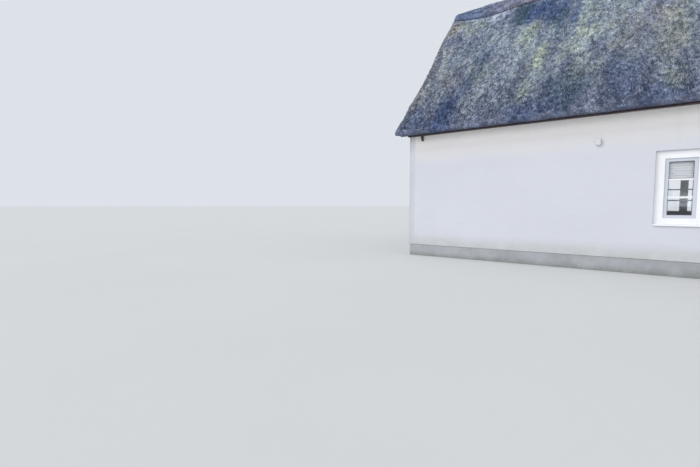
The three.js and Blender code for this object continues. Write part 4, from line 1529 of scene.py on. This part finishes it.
def make_camera():
    data = bpy.data.cameras.new("camera")
    data.sensor_fit = "HORIZONTAL"
    data.sensor_width = SENSOR_WIDTH
    data.lens = SENSOR_WIDTH * FOCAL_PIXELS / PHOTO_WIDTH
    data.clip_end = 1000
    camera = link("camera", data)
    camera.location = Vector((-HALF_LENGTH, -HALF_DEPTH, 0)) + CAMERA_FROM_CORNER
    camera.rotation_euler = (math.pi / 2 + CAMERA_PITCH, 0, -CAMERA_YAW)
    bpy.context.scene.camera = camera


def add_light(name, come_from, strength, softness):
    light = bpy.data.lights.new(name, "SUN")
    light.energy = strength
    light.angle = softness
    light.color = WARM_WHITE
    link(name, light).rotation_euler = (-come_from).to_track_quat("-Z", "Y").to_euler()


def make_stage(look):
    work = bmesh.new()
    ground = Matrix.Translation((0, 0, -0.001))
    bmesh.ops.create_circle(work, cap_ends=True, segments=128, radius=look.floor, matrix=ground)
    put("stage_floor", mesh_from(work, "stage_floor"), floor_finish())
    add_light("key", KEY_FROM, look.key, look.softness)
    add_light("fill", FILL_FROM, look.fill, look.softness)
    world = bpy.data.worlds.new("studio")
    world.use_nodes = True
    sky = world.node_tree.nodes["Background"]
    sky.inputs["Color"].default_value = (*linear("e9eef6"), 1.0)
    sky.inputs["Strength"].default_value = look.sky
    bpy.context.scene.world = world
    bpy.context.scene.view_settings.view_transform = "Standard"
    make_camera()


# Operators


class COTTAGE_OT_thatch(bpy.types.Operator):
    """Lay both thatched slopes with their reed ends"""

    bl_idname = "cottage.thatch"
    bl_label = "Thatch"

    def execute(self, context):
        look = context.scene.cottage_thatch
        make_thatch(look, thatch_finish(look))
        return {"FINISHED"}


class COTTAGE_OT_ridge(bpy.types.Operator):
    """Lay the heather cap over the ridge"""

    bl_idname = "cottage.ridge"
    bl_label = "Heather ridge"

    def execute(self, context):
        look = context.scene.cottage_ridge
        make_ridge(look, heather_finish(look))
        return {"FINISHED"}


class COTTAGE_OT_walls(bpy.types.Operator):
    """Plaster the walls and render the plinth"""

    bl_idname = "cottage.walls"
    bl_label = "Walls and plinth"

    def execute(self, context):
        make_walls(context.scene.cottage_walls)
        return {"FINISHED"}


class COTTAGE_OT_timber(bpy.types.Operator):
    """Finish the floors, roof timbers, eave boards and verge boards"""

    bl_idname = "cottage.timber"
    bl_label = "Timber and floors"

    def execute(self, context):
        make_floors(linear("9c7650"))
        make_timber(context.scene.cottage_joinery)
        return {"FINISHED"}


class COTTAGE_OT_windows(bpy.types.Operator):
    """Finish the windows, with glazing bars, seals and blinds"""

    bl_idname = "cottage.windows"
    bl_label = "Windows and blinds"

    def execute(self, context):
        make_windows(context.scene.cottage_joinery)
        return {"FINISHED"}


class COTTAGE_OT_door(bpy.types.Operator):
    """Finish the front door, its step and its handle"""

    bl_idname = "cottage.door"
    bl_label = "Front door"

    def execute(self, context):
        make_door(context.scene.cottage_joinery)
        return {"FINISHED"}


class COTTAGE_OT_fittings(bpy.types.Operator):
    """Finish the small housing on the front wall"""

    bl_idname = "cottage.fittings"
    bl_label = "Wall fittings"

    def execute(self, context):
        make_fittings()
        return {"FINISHED"}


class COTTAGE_OT_stage(bpy.types.Operator):
    """Set up the floor, the soft light and the camera"""

    bl_idname = "cottage.stage"
    bl_label = "Studio"

    def execute(self, context):
        make_stage(context.scene.cottage_stage)
        return {"FINISHED"}


OPERATORS = (
    COTTAGE_OT_thatch,
    COTTAGE_OT_ridge,
    COTTAGE_OT_walls,
    COTTAGE_OT_timber,
    COTTAGE_OT_windows,
    COTTAGE_OT_door,
    COTTAGE_OT_fittings,
    COTTAGE_OT_stage,
)
SETTINGS = {
    "cottage_thatch": ThatchSettings,
    "cottage_ridge": RidgeSettings,
    "cottage_walls": WallSettings,
    "cottage_joinery": JoinerySettings,
    "cottage_stage": StageSettings,
}


class COTTAGE_PT_finish(bpy.types.Panel):
    """Lists the steps that finish the house"""

    bl_label = "Cottage"
    bl_idname = "COTTAGE_PT_finish"
    bl_space_type = "VIEW_3D"
    bl_region_type = "UI"
    bl_category = "Cottage"

    def draw(self, context):
        for operator in OPERATORS:
            self.layout.operator(operator.bl_idname)


def register():
    for group in SETTINGS.values():
        bpy.utils.register_class(group)
    for name, group in SETTINGS.items():
        setattr(bpy.types.Scene, name, PointerProperty(type=group))
    for operator in OPERATORS:
        bpy.utils.register_class(operator)
    bpy.utils.register_class(COTTAGE_PT_finish)


def unregister():
    bpy.utils.unregister_class(COTTAGE_PT_finish)
    for operator in reversed(OPERATORS):
        bpy.utils.unregister_class(operator)
    for name in SETTINGS:
        delattr(bpy.types.Scene, name)
    for group in SETTINGS.values():
        bpy.utils.unregister_class(group)


def main():
    register()
    bpy.ops.cottage.thatch()
    bpy.ops.cottage.ridge()
    bpy.ops.cottage.walls()
    bpy.ops.cottage.timber()
    bpy.ops.cottage.windows()
    bpy.ops.cottage.door()
    bpy.ops.cottage.fittings()
    bpy.ops.cottage.stage()


if __name__ == "__main__":
    main()
